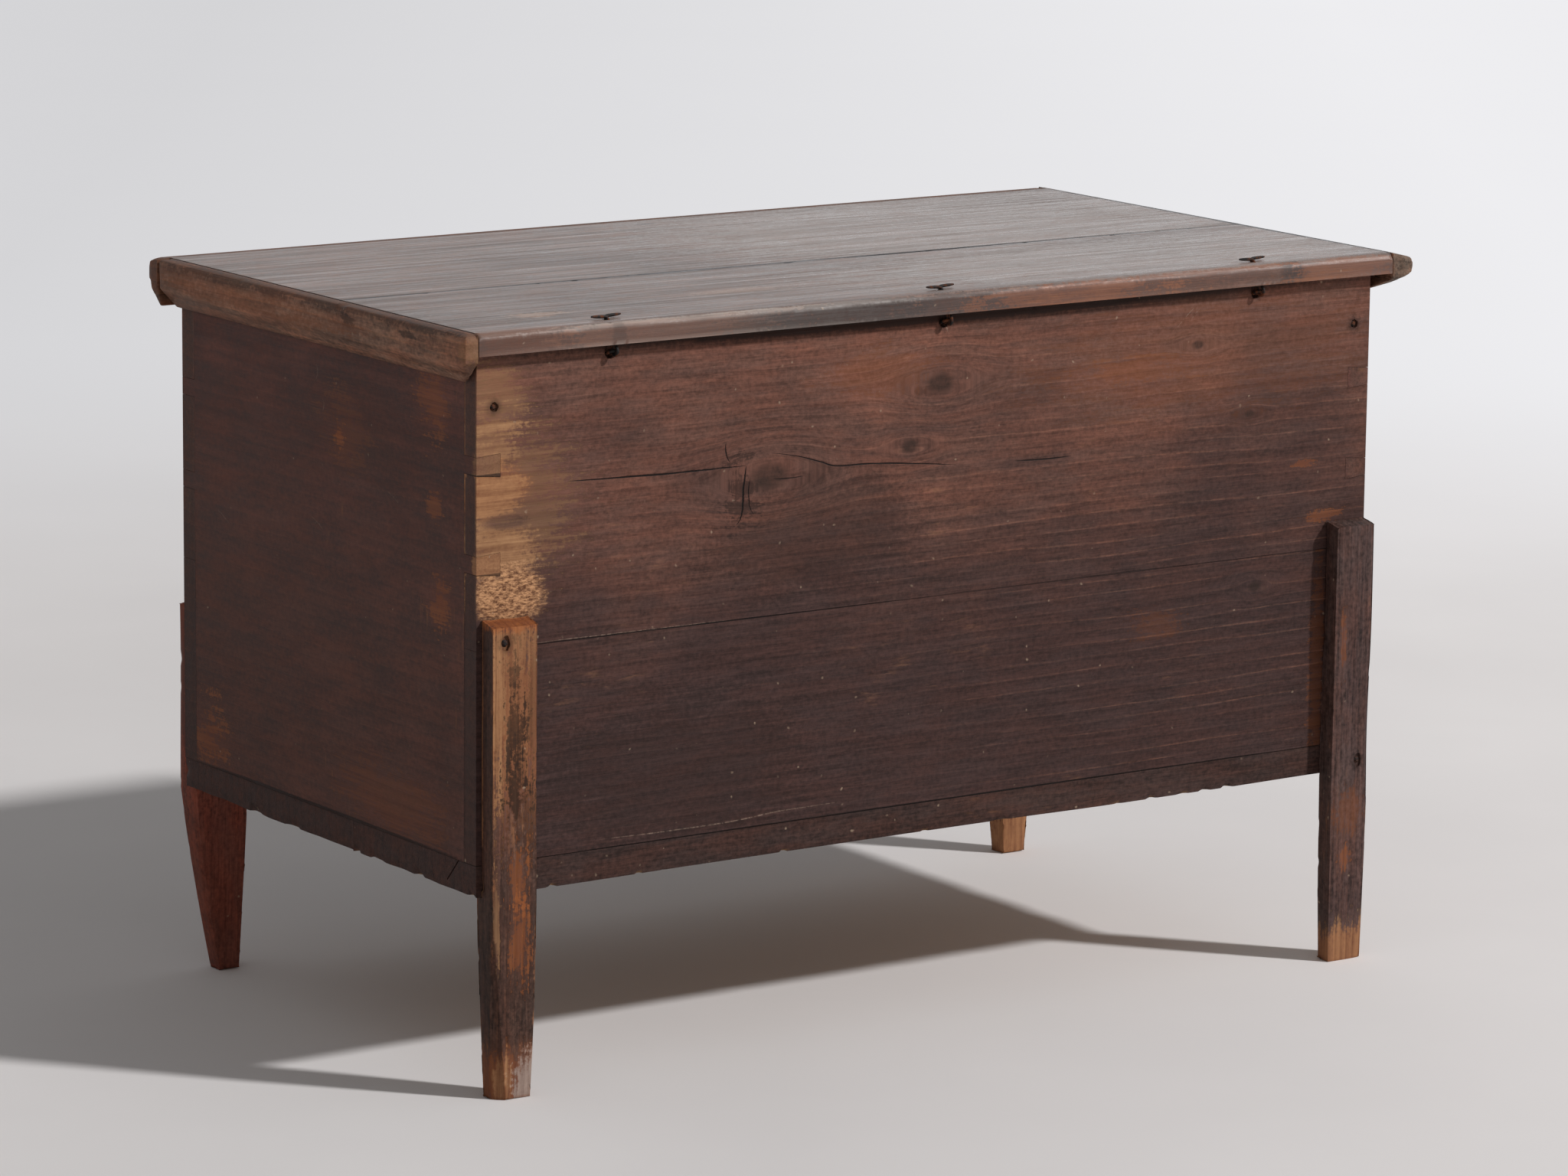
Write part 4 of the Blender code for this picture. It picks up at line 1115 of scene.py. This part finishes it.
@dataclass
class Carcase:
    """The box: two boards each for back, front and bottom, and one board for each end."""

    board_voxel: float = 0.0030
    hidden_voxel: float = 0.0032
    corner_split: tuple[Pair, Pair] = ((0.217, 0.188), (0.238, 0.211))
    # Planed pine under a thin stain: warm brown at the top, near black below, with long fine grain.
    stain: StainedPine = StainedPine(
        "pine_stained_back", Grain.LENGTHWISE_UPRIGHT, "#775042", "#5d4138", "#3f2d2a", rim_stain="#46332d",
        rim_share=0.75, worn="#8d6350", tint=0.05, show_grain=0.36, uneven=0.43, arris_wear=0.2, scuff=0.3
    )
    # The same stain laid thicker: an even dark brown, rubbed orange in spots.
    end_stain: StainedPine = StainedPine(
        "pine_stained_end", Grain.END_BOARD, "#69463e", "#442e2a", "#543a33", rim_stain="#5c4037",
        rim_share=0.9, mottle_mm=(75.0, 30.0), tint=0.05, show_grain=0.05, uneven=0.42,
        arris_wear=0.1, scuff=0.4, scuff_upright=True, stripes=0.3,
    )
    # Rough boards that took dirt more than stain: dull, dark and uneven.
    floor_pine: StainedPine = StainedPine(
        "pine_rough_bottom", Grain.LENGTHWISE_FLAT, "#4a3731", "#382825", "#3d2d29", rim_stain="#412e29",
        show_grain=0.1, uneven=0.55, arris_wear=0.12, scuff=0.2
    )

    def build(self, nodes: dict[str, bpy.types.Object], iron: Iron) -> None:
        """Carves and dresses the boards.

        Args:
            nodes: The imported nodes.
            iron: Places of nails and pins.
        """
        front, back = Vector((0, -1, 0)), Vector((0, 1, 0))
        right, left = Vector((1, 0, 0)), Vector((-1, 0, 0))
        up, down = Vector((0, 0, 1)), Vector((0, 0, -1))
        upright, end, flat = Grain.LENGTHWISE_UPRIGHT, Grain.END_BOARD, Grain.LENGTHWISE_FLAT
        fine, coarse = self.board_voxel, self.hidden_voxel
        upper, lower, across = (BELOW, LEFT, RIGHT), (BELOW, ABOVE, LEFT, RIGHT), (BELOW, FRONT, BACK)
        rows = (
            ("back_upper_board", fine, upright, (front,), upper, self.stain, BACK_MARKS),
            ("back_lower_board", fine, upright, (front,), lower, self.stain, BACK_LOW_MARKS),
            ("front_upper_board", coarse, upright, (back,), upper, self.stain, FRONT_MARKS),
            ("front_lower_board", coarse, upright, (back,), lower, self.stain, Marks()),
            ("right_end_board", fine, end, (left,), across, self.end_stain, END_MARKS),
            ("left_end_board", coarse, end, (right,), across, self.end_stain, Marks()),
            ("bottom_front_board", coarse, flat, (up, down), (ABOVE, BACK), self.floor_pine, Marks()),
            ("bottom_back_board", fine, flat, (up, down), (ABOVE, FRONT), self.floor_pine, Marks()),
        )
        worn = {
            "bottom": (0.0022, 0.0040), "back": (0.0012, 0.0018), "front": (0.0012, 0.0018),
            "left": (0.0, 0.0), "right": (0.0, 0.0)
        }
        for n, (node, voxel, grain, inner, covered, finish, marks) in enumerate(rows):
            wear, chips = worn[node.split("_")[0]]
            split = self.corner_split if node == "bottom_back_board" else None
            timber = Timber(
                node, "chest", "stained_pine", voxel, grain, inner, covered, (), wear, chips, seed=11 + n,
                split=split
            )
            dress(timber.carve(nodes[node], iron), timber, finish.material(marks))


@dataclass
class Lid:
    """The lid: two boards, an end cleat at each end and a strip along the front."""

    board_voxel: float = 0.0031
    edging_voxel: float = 0.0017
    # Planed pine polished by use: a satin film whose streaks mirror the pale sky.
    top: StainedPine = StainedPine(
        "pine_lid_satin", Grain.LENGTHWISE_FLAT, "#786359", "#504037", "#655248", -0.3, -0.2, "#4c342b", 0.9,
        worn="#a5806a", ring_mm=8.0, show_grain=0.12,
        mottle_mm=(45.0, 10.0), tint=0.06, uneven=0.44, scuff=0.15, stripes=0.5, streaky=0.12, rough=0.34,
        specular=0.6,
    )
    # Edging handled and knocked for years: a duller, lighter brown with dirt in its hollows.
    edge: StainedPine = StainedPine(
        "pine_lid_edging", Grain.END_BOARD, "#876350", "#62483c", "#664c42", -0.3, -0.2, "#5e463b", 0.7,
        uneven=0.62, scuff=0.5, stripes=0.6, arris_wear=0.3
    )
    # The same along the front, with the grain lengthwise.
    strip: StainedPine = StainedPine(
        "pine_lid_strip", Grain.LENGTHWISE_UPRIGHT, "#7d543f", "#5b3e30", "#66493d", -0.3, -0.2, "#5e463b",
        0.7, scuff=0.5, arris_wear=0.3
    )

    def build(self, nodes: dict[str, bpy.types.Object], iron: Iron) -> None:
        """Carves and dresses the lid's pieces.

        Args:
            nodes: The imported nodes.
            iron: Places of nails and pins.
        """
        down = (Vector((0, 0, -1)),)
        flat, end, upright = Grain.LENGTHWISE_FLAT, Grain.END_BOARD, Grain.LENGTHWISE_UPRIGHT
        gap = Shake(((-0.264, -0.4975), (0.008, -0.4977), (0.279, -0.4978)), 0.0022, True)
        mark = Marks(
            shakes=(Shake(((-0.60, 0.0442), (0.006, 0.0443), (0.60, 0.0442)), 0.0021), gap),
            patches=(
                # Painted reflection: a broad pale sheen laid on the top towards its -x end.
                Patch(-0.250, -0.080, 0.340, 0.240, PALE, 0.32, 0.9),
                Patch(0.003, -0.241, 0.013, 0.004, BLACK, 0.85, 0.4),
                Patch(0.213, -0.072, 0.060, 0.035, BLACK, 0.25, 2.4),
            ),
        )
        rubbed = Marks(
            shakes=(Shake(((-0.60, 0.0464), (0.006, 0.0463), (0.60, 0.0464)), 0.0021), gap),
            patches=(
                # Painted reflection: a broad pale sheen laid on the top towards its -x end.
                Patch(-0.250, 0.170, 0.340, 0.110, PALE, 0.32, 0.9),
                Patch(0.407, 0.209, 0.032, 0.013, WORN, 0.5, 1.6),
                Patch(0.178, 0.176, 0.050, 0.012, WORN, 0.3, 2.0),
                Patch(0.349, 0.238, 0.014, 0.006, BLACK, 0.6, 1.2),
                Patch(0.000, 0.2794, 0.420, 0.0045, BLACK, 0.4, 1.8, 1.0),
                Patch(-0.380, 0.2795, 0.020, 0.0060, BLACK, 0.6, 1.2, 1.0),
                # Pale line along the back arris: worn wood, with a painted highlight on its rounded edge.
                Patch(0.27, 0.2775, 0.22, 0.0040, PALE, 0.85, 0.9, 0.1),
                Patch(0.47, 0.2760, 0.06, 0.0120, ORANGE, 0.22, 1.8, 0.6),
                Patch(-0.44, 0.2790, 0.07, 0.0050, ORANGE, 0.4, 1.6, 0.7),
                Patch(-0.25, 0.2785, 0.17, 0.0045, ORANGE, 0.4, 1.5, 0.3),
                Patch(0.33, 0.2794, 0.10, 0.0040, ORANGE, 0.18, 2.2, 1.0),
                Patch(-0.12, 0.2794, 0.12, 0.0040, ORANGE, 0.35, 2.2, 1.0),
                Patch(0.13, 0.2794, 0.10, 0.0040, BLACK, 0.45, 2.0, 1.0),
                Patch(0.368, 0.2790, 0.008, 0.0040, BLACK, 0.35, 0.8, 1.0),
            )
        )
        smudges = Marks(
            patches=(
                Patch(0.081, 0.669, 0.014, 0.006, BLACK, 0.6, 1.2),
                Patch(0.184, 0.669, 0.014, 0.005, BLACK, 0.6, 1.2),
                Patch(0.278, 0.668, 0.010, 0.014, WORN, 0.34, 1.8, 1.0),
                Patch(-0.10, 0.664, 0.17, 0.012, ORANGE, 0.22, 2.4),
                Patch(0.000, 0.679, 0.300, 0.007, BLACK, 0.4, 2.0, 0.6),
            )
        )
        hidden = tuple("cleat_nail_right_" + spot for spot in ("front", "joint", "back"))
        board, cleat = (0.0018, 0.0014, 0.006), (0.0030, 0.0024, 0.010)
        weathered = replace(self.edge, name="pine_lid_edging_grey", rim_stain="#665549", rim_share=0.9)
        wide, fine = self.board_voxel, self.edging_voxel
        rows = (
            ("lid_front_board", wide, flat, down, (LEFT, RIGHT, FRONT, BELOW), (), board, self.top, mark),
            ("lid_back_board", wide, flat, down, (LEFT, RIGHT, BELOW), (), board, self.top, rubbed),
            ("lid_right_cleat", fine, end, (), (LEFT,), hidden, cleat, self.edge, smudges),
            ("lid_left_cleat", fine, end, (), (RIGHT,), (), cleat, weathered, Marks()),
            ("lid_front_strip", fine, upright, (), (BACK,), (), cleat, self.strip, Marks()),
        )
        for n, (node, voxel, grain, inner, covered, filled, worn, finish, marks) in enumerate(rows):
            wear, chips, reach = worn
            slot, soften = ("lid_pine", 0) if finish is self.top else ("stained_pine", 5)
            timber = Timber(
                node, "lid", slot, voxel, grain, inner, covered, filled, wear, chips, seed=31 + n,
                reach=reach, soften=soften
            )
            dress(timber.carve(nodes[node], iron), timber, finish.material(marks))


@dataclass
class Legs:
    """Four notched and hewn posts."""

    voxel: float = 0.0021
    # Hewn post, rubbed through: coarse dark mottle over orange wood.
    worn_post: StainedPine = StainedPine(
        "pine_leg_worn", Grain.POST, "#5a4036", "#3d2b25", "#48342c", 0.05, 0.2, "#3d2d27", 0.7,
        mottle_mm=(34.0, 7.0), uneven=0.64, ring_mm=7.0, show_grain=0.12, arris_wear=0.4, scuff=0.7
    )
    # Hewn post with its stain left on: dull grey brown.
    dark_post: StainedPine = StainedPine(
        "pine_leg_dark", Grain.POST, "#57413b", "#443330", "#4c3935", 0.05, 0.2, "#42322d", 0.6,
        mottle_mm=(34.0, 7.0), uneven=0.64, ring_mm=7.0, show_grain=0.08, arris_wear=0.25, scuff=0.4
    )
    # Hewn post that took a redder stain: an even red brown.
    red_post: StainedPine = StainedPine(
        "pine_leg_red", Grain.POST, "#874838", "#6b3e35", "#734033", 0.05, 0.2, "#764132", 0.6, ring_mm=7.0,
        show_grain=0.08, arris_wear=0.25, scuff=0.25
    )

    def build(self, nodes: dict[str, bpy.types.Object], iron: Iron) -> None:
        """Carves and dresses the legs.

        Args:
            nodes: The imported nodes.
            iron: Places of nails and pins.
        """
        near = Marks(
            patches=(
                Patch(0.345, 0.4765, 0.125, 0.034, ORANGE, 0.55, 1.2),
                Patch(0.350, 0.4765, 0.110, 0.030, WORN, 0.36, 1.4),
                Patch(0.345, 0.4930, 0.110, 0.0085, WORN, 0.6, 1.6),
                Patch(0.405, 0.4700, 0.030, 0.0160, WORN, 0.4, 1.3),
                Patch(0.325, 0.4765, 0.080, 0.0095, BLACK, 0.36, 3.6),
                Patch(0.378, 0.4785, 0.018, 0.0080, BLACK, 0.42, 2.8),
                Patch(0.332, 0.4775, 0.032, 0.0095, BLACK, 0.44, 3.0),
                Patch(0.280, 0.4770, 0.036, 0.0120, BLACK, 0.46, 2.8),
                Patch(0.345, 0.4600, 0.060, 0.0080, BLACK, 0.4, 3.0),
                Patch(0.290, 0.4740, 0.055, 0.0140, BLACK, 0.36, 3.2),
                Patch(0.250, 0.4720, 0.045, 0.0190, BLACK, 0.4, 2.4),
                Patch(0.150, 0.4765, 0.100, 0.0400, BLACK, 0.25, 1.5),
                Patch(0.427, 0.4765, 0.010, 0.0400, ORANGE, 0.6, 1.0, 1.0),
                Patch(0.200, 0.4740, 0.030, 0.0100, ORANGE, 0.4, 2.6),
                Patch(0.165, 0.4955, 0.040, 0.0040, WORN, 0.45, 1.8),
                Patch(0.142, 0.4720, 0.034, 0.0110, ORANGE, 0.4, 2.6),
                Patch(0.015, 0.4765, 0.034, 0.0500, ORANGE, 0.4, 1.1, 0.9),
                Patch(0.014, 0.4870, 0.030, 0.0080, WORN, 0.6, 1.0),
                Patch(0.010, 0.4660, 0.032, 0.0150, PALE, 0.65, 1.2, 0.3),
            )
        )
        foot = Marks(
            patches=(
                Patch(0.006, -0.465, 0.030, 0.060, ORANGE, 0.5, 0.7, 0.8),
                Patch(0.006, -0.465, 0.034, 0.060, WORN, 0.55, 1.2, 0.6),
                Patch(0.308, -0.449, 0.030, 0.004, ORANGE, 0.32, 1.6),
                Patch(0.101, -0.456, 0.012, 0.007, ORANGE, 0.4, 2.2),
                Patch(0.145, -0.460, 0.022, 0.016, ORANGE, 0.22, 2.2),
            )
        )
        bared = Marks(
            patches=(
                Patch(0.010, -0.465, 0.055, 0.060, ORANGE, 0.6, 0.8, 1.0),
                Patch(0.010, -0.465, 0.045, 0.060, WORN, 0.6, 0.9, 1.0)
            )
        )
        rows = (
            ("leg_back_right", self.worn_post, near, ("leg_nail_back_right_mid", "leg_nail_back_right_low")),
            ("leg_back_left", self.dark_post, foot, ("leg_nail_back_left_top", "leg_nail_back_left_mid")),
            (
                "leg_front_right", self.red_post,
                Marks(patches=(Patch(0.32, 0.478, 0.15, 0.07, BLACK, 0.35, 1.2, 1.0),)), ()
            ),
            ("leg_front_left", self.dark_post, bared, ()),
        )
        for n, (node, finish, marks, filled) in enumerate(rows):
            timber = Timber(
                node, "chest", "leg_pine", self.voxel, Grain.POST, (), (), filled, 0.0028, 0.0012, 0.0006,
                51 + n, 1.7, 0.008
            )
            dress(timber.carve(nodes[node], iron), timber, finish.material(marks))


@dataclass
class ForgedNails:
    """Rose-head nails, their heads driven below the wood."""

    head_radius: float = 0.0036
    head_height: float = 0.0016
    head_taper: float = 0.45
    sizes: Pair = (0.85, 1.1)
    facets: int = 7
    seed: int = 4

    def tree(self) -> bpy.types.GeometryNodeTree:
        """Builds the node tree that sets one hammered head on each point."""
        tree = bpy.data.node_groups.new("forged_nail_heads", "GeometryNodeTree")
        for name, kind, way in (
            ("Places", "NodeSocketGeometry", "INPUT"),
            ("Head Radius", "NodeSocketFloat", "INPUT"),
            ("Head Height", "NodeSocketFloat", "INPUT"),
            ("Facets", "NodeSocketInt", "INPUT"),
            ("Seed", "NodeSocketInt", "INPUT"),
            ("Iron", "NodeSocketMaterial", "INPUT"),
            ("Heads", "NodeSocketGeometry", "OUTPUT"),
        ):
            tree.interface.new_socket(name, in_out=way, socket_type=kind)
        new, link = tree.nodes.new, tree.links.new
        given, result = new("NodeGroupInput"), new("NodeGroupOutput")
        head = new("GeometryNodeMeshCone")
        head.inputs["Side Segments"].default_value = 2
        narrow = new("ShaderNodeMath")
        narrow.operation = "MULTIPLY"
        narrow.inputs[1].default_value = self.head_taper
        link(given.outputs["Head Radius"], narrow.inputs[0])
        link(narrow.outputs[0], head.inputs["Radius Top"])
        link(given.outputs["Head Radius"], head.inputs["Radius Bottom"])
        link(given.outputs["Head Height"], head.inputs["Depth"])
        link(given.outputs["Facets"], head.inputs["Vertices"])
        way = new("GeometryNodeInputNamedAttribute")
        way.data_type = "FLOAT_VECTOR"
        way.inputs["Name"].default_value = "out"
        lean = new("FunctionNodeAlignRotationToVector")
        lean.axis = "Z"
        link(way.outputs[0], lean.inputs["Vector"])
        size = new("FunctionNodeRandomValue")
        size.data_type = "FLOAT"
        size.inputs[2].default_value, size.inputs[3].default_value = self.sizes
        link(given.outputs["Seed"], size.inputs["Seed"])
        stand = new("GeometryNodeInstanceOnPoints")
        link(given.outputs["Places"], stand.inputs["Points"])
        link(head.outputs["Mesh"], stand.inputs["Instance"])
        link(lean.outputs[0], stand.inputs["Rotation"])
        link(size.outputs[1], stand.inputs["Scale"])
        real, paint = new("GeometryNodeRealizeInstances"), new("GeometryNodeSetMaterial")
        link(stand.outputs[0], real.inputs[0])
        link(real.outputs[0], paint.inputs[0])
        link(given.outputs["Iron"], paint.inputs["Material"])
        link(paint.outputs[0], result.inputs[0])
        return tree

    def build(self, iron: Iron, bodies: dict[str, str], material: bpy.types.Material) -> None:
        """Makes one mesh of nail heads for each body.

        Args:
            iron: Places of the nails.
            bodies: Node name to its body.
            material: The iron.
        """
        tree = self.tree()
        sockets = {item.name: item.identifier for item in tree.interface.items_tree if item.in_out == "INPUT"}
        for body in sorted(set(bodies[n] for n in iron.heads)):
            names = sorted(n for n in iron.heads if bodies[n] == body)
            places = bpy.data.meshes.new("nail_places_" + body)
            tips = [iron.heads[n][0] - iron.heads[n][1] * self.head_height for n in names]
            places.from_pydata([tuple(t) for t in tips], [], [])
            ways = np.array([iron.heads[n][1] for n in names], np.float32)
            places.attributes.new("out", "FLOAT_VECTOR", "POINT").data.foreach_set("vector", ways.ravel())
            holder = bpy.data.objects.new("nail_places_" + body, places)
            bpy.context.scene.collection.objects.link(holder)
            modifier = holder.modifiers.new("heads", "NODES")
            modifier.node_group = tree
            modifier[sockets["Head Radius"]] = self.head_radius
            modifier[sockets["Head Height"]] = self.head_height
            modifier[sockets["Facets"]] = self.facets
            modifier[sockets["Seed"]] = self.seed
            modifier[sockets["Iron"]] = material
            mesh = evaluated(holder)
            bpy.data.objects.remove(holder)
            piece = bpy.data.objects.new(body + "_forged_nails", mesh)
            bpy.context.scene.collection.objects.link(piece)
            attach(piece, body)
            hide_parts(*names)
            LOG.info("%s: %d nails", piece.name, len(names))


@dataclass
class SnipeHinges:
    """Three pairs of linked wire pins, kept as packed and smoothed."""

    levels: int = 2

    def dress(self, nodes: dict[str, bpy.types.Object], material: bpy.types.Material) -> None:
        """Smooths the pins and gives them their iron.

        Args:
            nodes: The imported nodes.
            material: The iron.
        """
        for name in sorted(n for n in nodes if n.startswith("hinge")):
            pin = nodes[name]
            pin.modifiers.new("weld", "WELD").merge_threshold = MERGE
            smooth = pin.modifiers.new("smooth", "SUBSURF")
            smooth.levels = smooth.render_levels = self.levels
            pin.data.materials.clear()
            pin.data.materials.append(material)
            pin.data.shade_smooth()
            LOG.info("%s: iron", name)


@dataclass
class Studio:
    """A pale floor, a soft sun from the photograph's right, an even sky and the camera."""

    eye: tuple[float, float, float] = (3.32775, 4.85605, 1.5003)
    yaw: float = 3.7422
    pitch: float = -0.191
    roll: float = 0.0107
    lens: float = 145.68
    sun_from: tuple[float, float, float] = (-0.52, 0.62, 0.58)
    sun_strength: float = 2.5
    sun_width: float = math.radians(4)
    sky: float = 0.25
    floor_colour: str = "#e6e2e1"
    backdrop: str = "#f0f0f3"
    half_floor: float = 40.0
    across_view: tuple[float, float, float] = (-0.825, 0.565, 0.0)

    def build(self) -> None:
        """Sets up the stage."""
        scene = bpy.context.scene
        scene.view_settings.view_transform = "Standard"
        self.camera()
        sun = bpy.data.lights.new("studio_sun", "SUN")
        sun.energy, sun.angle = self.sun_strength, self.sun_width
        lamp = bpy.data.objects.new("studio_sun", sun)
        lamp.rotation_euler = Vector(self.sun_from).to_track_quat("Z", "Y").to_euler()
        scene.collection.objects.link(lamp)
        self.world()
        self.floor()

    def camera(self) -> None:
        """Puts the camera where the photograph was taken."""
        ahead = Vector(
            (
                math.cos(self.pitch) * math.sin(self.yaw), math.cos(self.pitch) * math.cos(self.yaw),
                math.sin(self.pitch)
            )
        )
        level = ahead.cross(Vector((0, 0, 1))).normalized()
        above = level.cross(ahead)
        right = math.cos(self.roll) * level + math.sin(self.roll) * above
        up = math.cos(self.roll) * above - math.sin(self.roll) * level
        lens = bpy.data.cameras.new("photo_camera")
        lens.sensor_fit, lens.sensor_width, lens.lens = "HORIZONTAL", 36.0, self.lens
        lens.clip_end = 200
        camera = bpy.data.objects.new("photo_camera", lens)
        turn = Matrix((right, up, -ahead)).transposed().to_4x4()
        camera.matrix_world = Matrix.Translation(Vector(self.eye)) @ turn
        bpy.context.scene.collection.objects.link(camera)
        bpy.context.scene.camera = camera

    def world(self) -> None:
        """Makes an even sky that shows pale to the camera and in gloss."""
        recipe = Recipe(bpy.data.worlds.new("studio_sky"))
        path = recipe.add("LightPath").node.outputs
        seen = recipe.add("Math.MAXIMUM", path["Is Camera Ray"], path["Is Glossy Ray"])
        sky = recipe.add("Background", {"Color": "#ffffff", "Strength": self.sky})
        show = recipe.add("Background", {"Color": self.backdrop, "Strength": 1.0})
        recipe.add("OutputWorld", {"Surface": recipe.add("MixShader", seen, sky, show)})
        bpy.context.scene.world = recipe.holder

    def floor(self) -> None:
        """Lays the pale floor, a little uneven in tone, and painted lighter towards the right of the view."""
        mesh = bpy.data.meshes.new("studio_floor")
        half = self.half_floor
        mesh.from_pydata(
            [(-half, -half, 0), (half, -half, 0), (half, half, 0), (-half, half, 0)], [], [(0, 1, 2, 3)]
        )
        floor = bpy.data.objects.new("studio_floor", mesh)
        bpy.context.scene.collection.objects.link(floor)
        recipe = Recipe(bpy.data.materials.new("floor_pale_paint"))
        place = recipe.add("TexCoord", out="Object")
        cloud = recipe.add("TexNoise", {"Vector": place, "Scale": per_metre(600)[0], "Detail": 4.0})
        tone = recipe.add("MapRange", cloud, 0.3, 0.7, 0.0, 1.0)
        colour = recipe.add("Mix.RGBA", tone, self.floor_colour, "#ece8e7")
        # Painted light: the floor is made up to a fifth lighter towards the right of the view, as if the sun
        # fell off across it.
        side = recipe.add("VectorMath.DOT_PRODUCT", place, self.across_view)
        painted_side_light = recipe.add("MapRange", side, 0.0, 0.8, 1.0, 1.2)
        colour = recipe.add("VectorMath.SCALE", colour, painted_side_light)
        shader = recipe.add(
            "BsdfPrincipled", {"Base Color": colour, "Roughness": 0.9, "Specular IOR Level": 0.1}
        )
        # Far from the chest the floor turns into the pale backdrop for the camera and in gloss: a glow,
        # painted brighter towards the right of the view and dimmer to the left.
        reach = recipe.add("VectorMath.LENGTH", place)
        far = recipe.add("MapRange.SMOOTHSTEP", reach, 1.5, 4.0, 0.0, 0.9)
        path = recipe.add("LightPath").node.outputs
        seen = recipe.add("Math.MAXIMUM", path["Is Camera Ray"], path["Is Glossy Ray"])
        seen = recipe.add("Math.MAXIMUM", seen, path["Is Transmission Ray"])
        level = recipe.add("MapRange", side, -1.3, 1.3, 0.77, 1.0)
        glow = recipe.add("Emission", {"Color": self.backdrop, "Strength": level})
        share = recipe.add("Math.MULTIPLY", far, seen)
        recipe.add("OutputMaterial", {"Surface": recipe.add("MixShader", share, shader, glow)})
        mesh.materials.append(recipe.holder)


def main() -> None:
    """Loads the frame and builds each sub-assembly in order."""
    logging.basicConfig(level=logging.INFO, format="%(name)s: %(message)s")
    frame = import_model()
    nodes = frame["nodes"]
    bodies = {n: obj["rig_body"] for n, obj in nodes.items()}
    iron = Iron.read(nodes)
    metal = WroughtIron().material()
    Studio().build()
    Carcase().build(nodes, iron)
    Lid().build(nodes, iron)
    Legs().build(nodes, iron)
    SnipeHinges().dress(nodes, metal)
    ForgedNails().build(iron, bodies, metal)


if __name__ == "__main__":
    main()
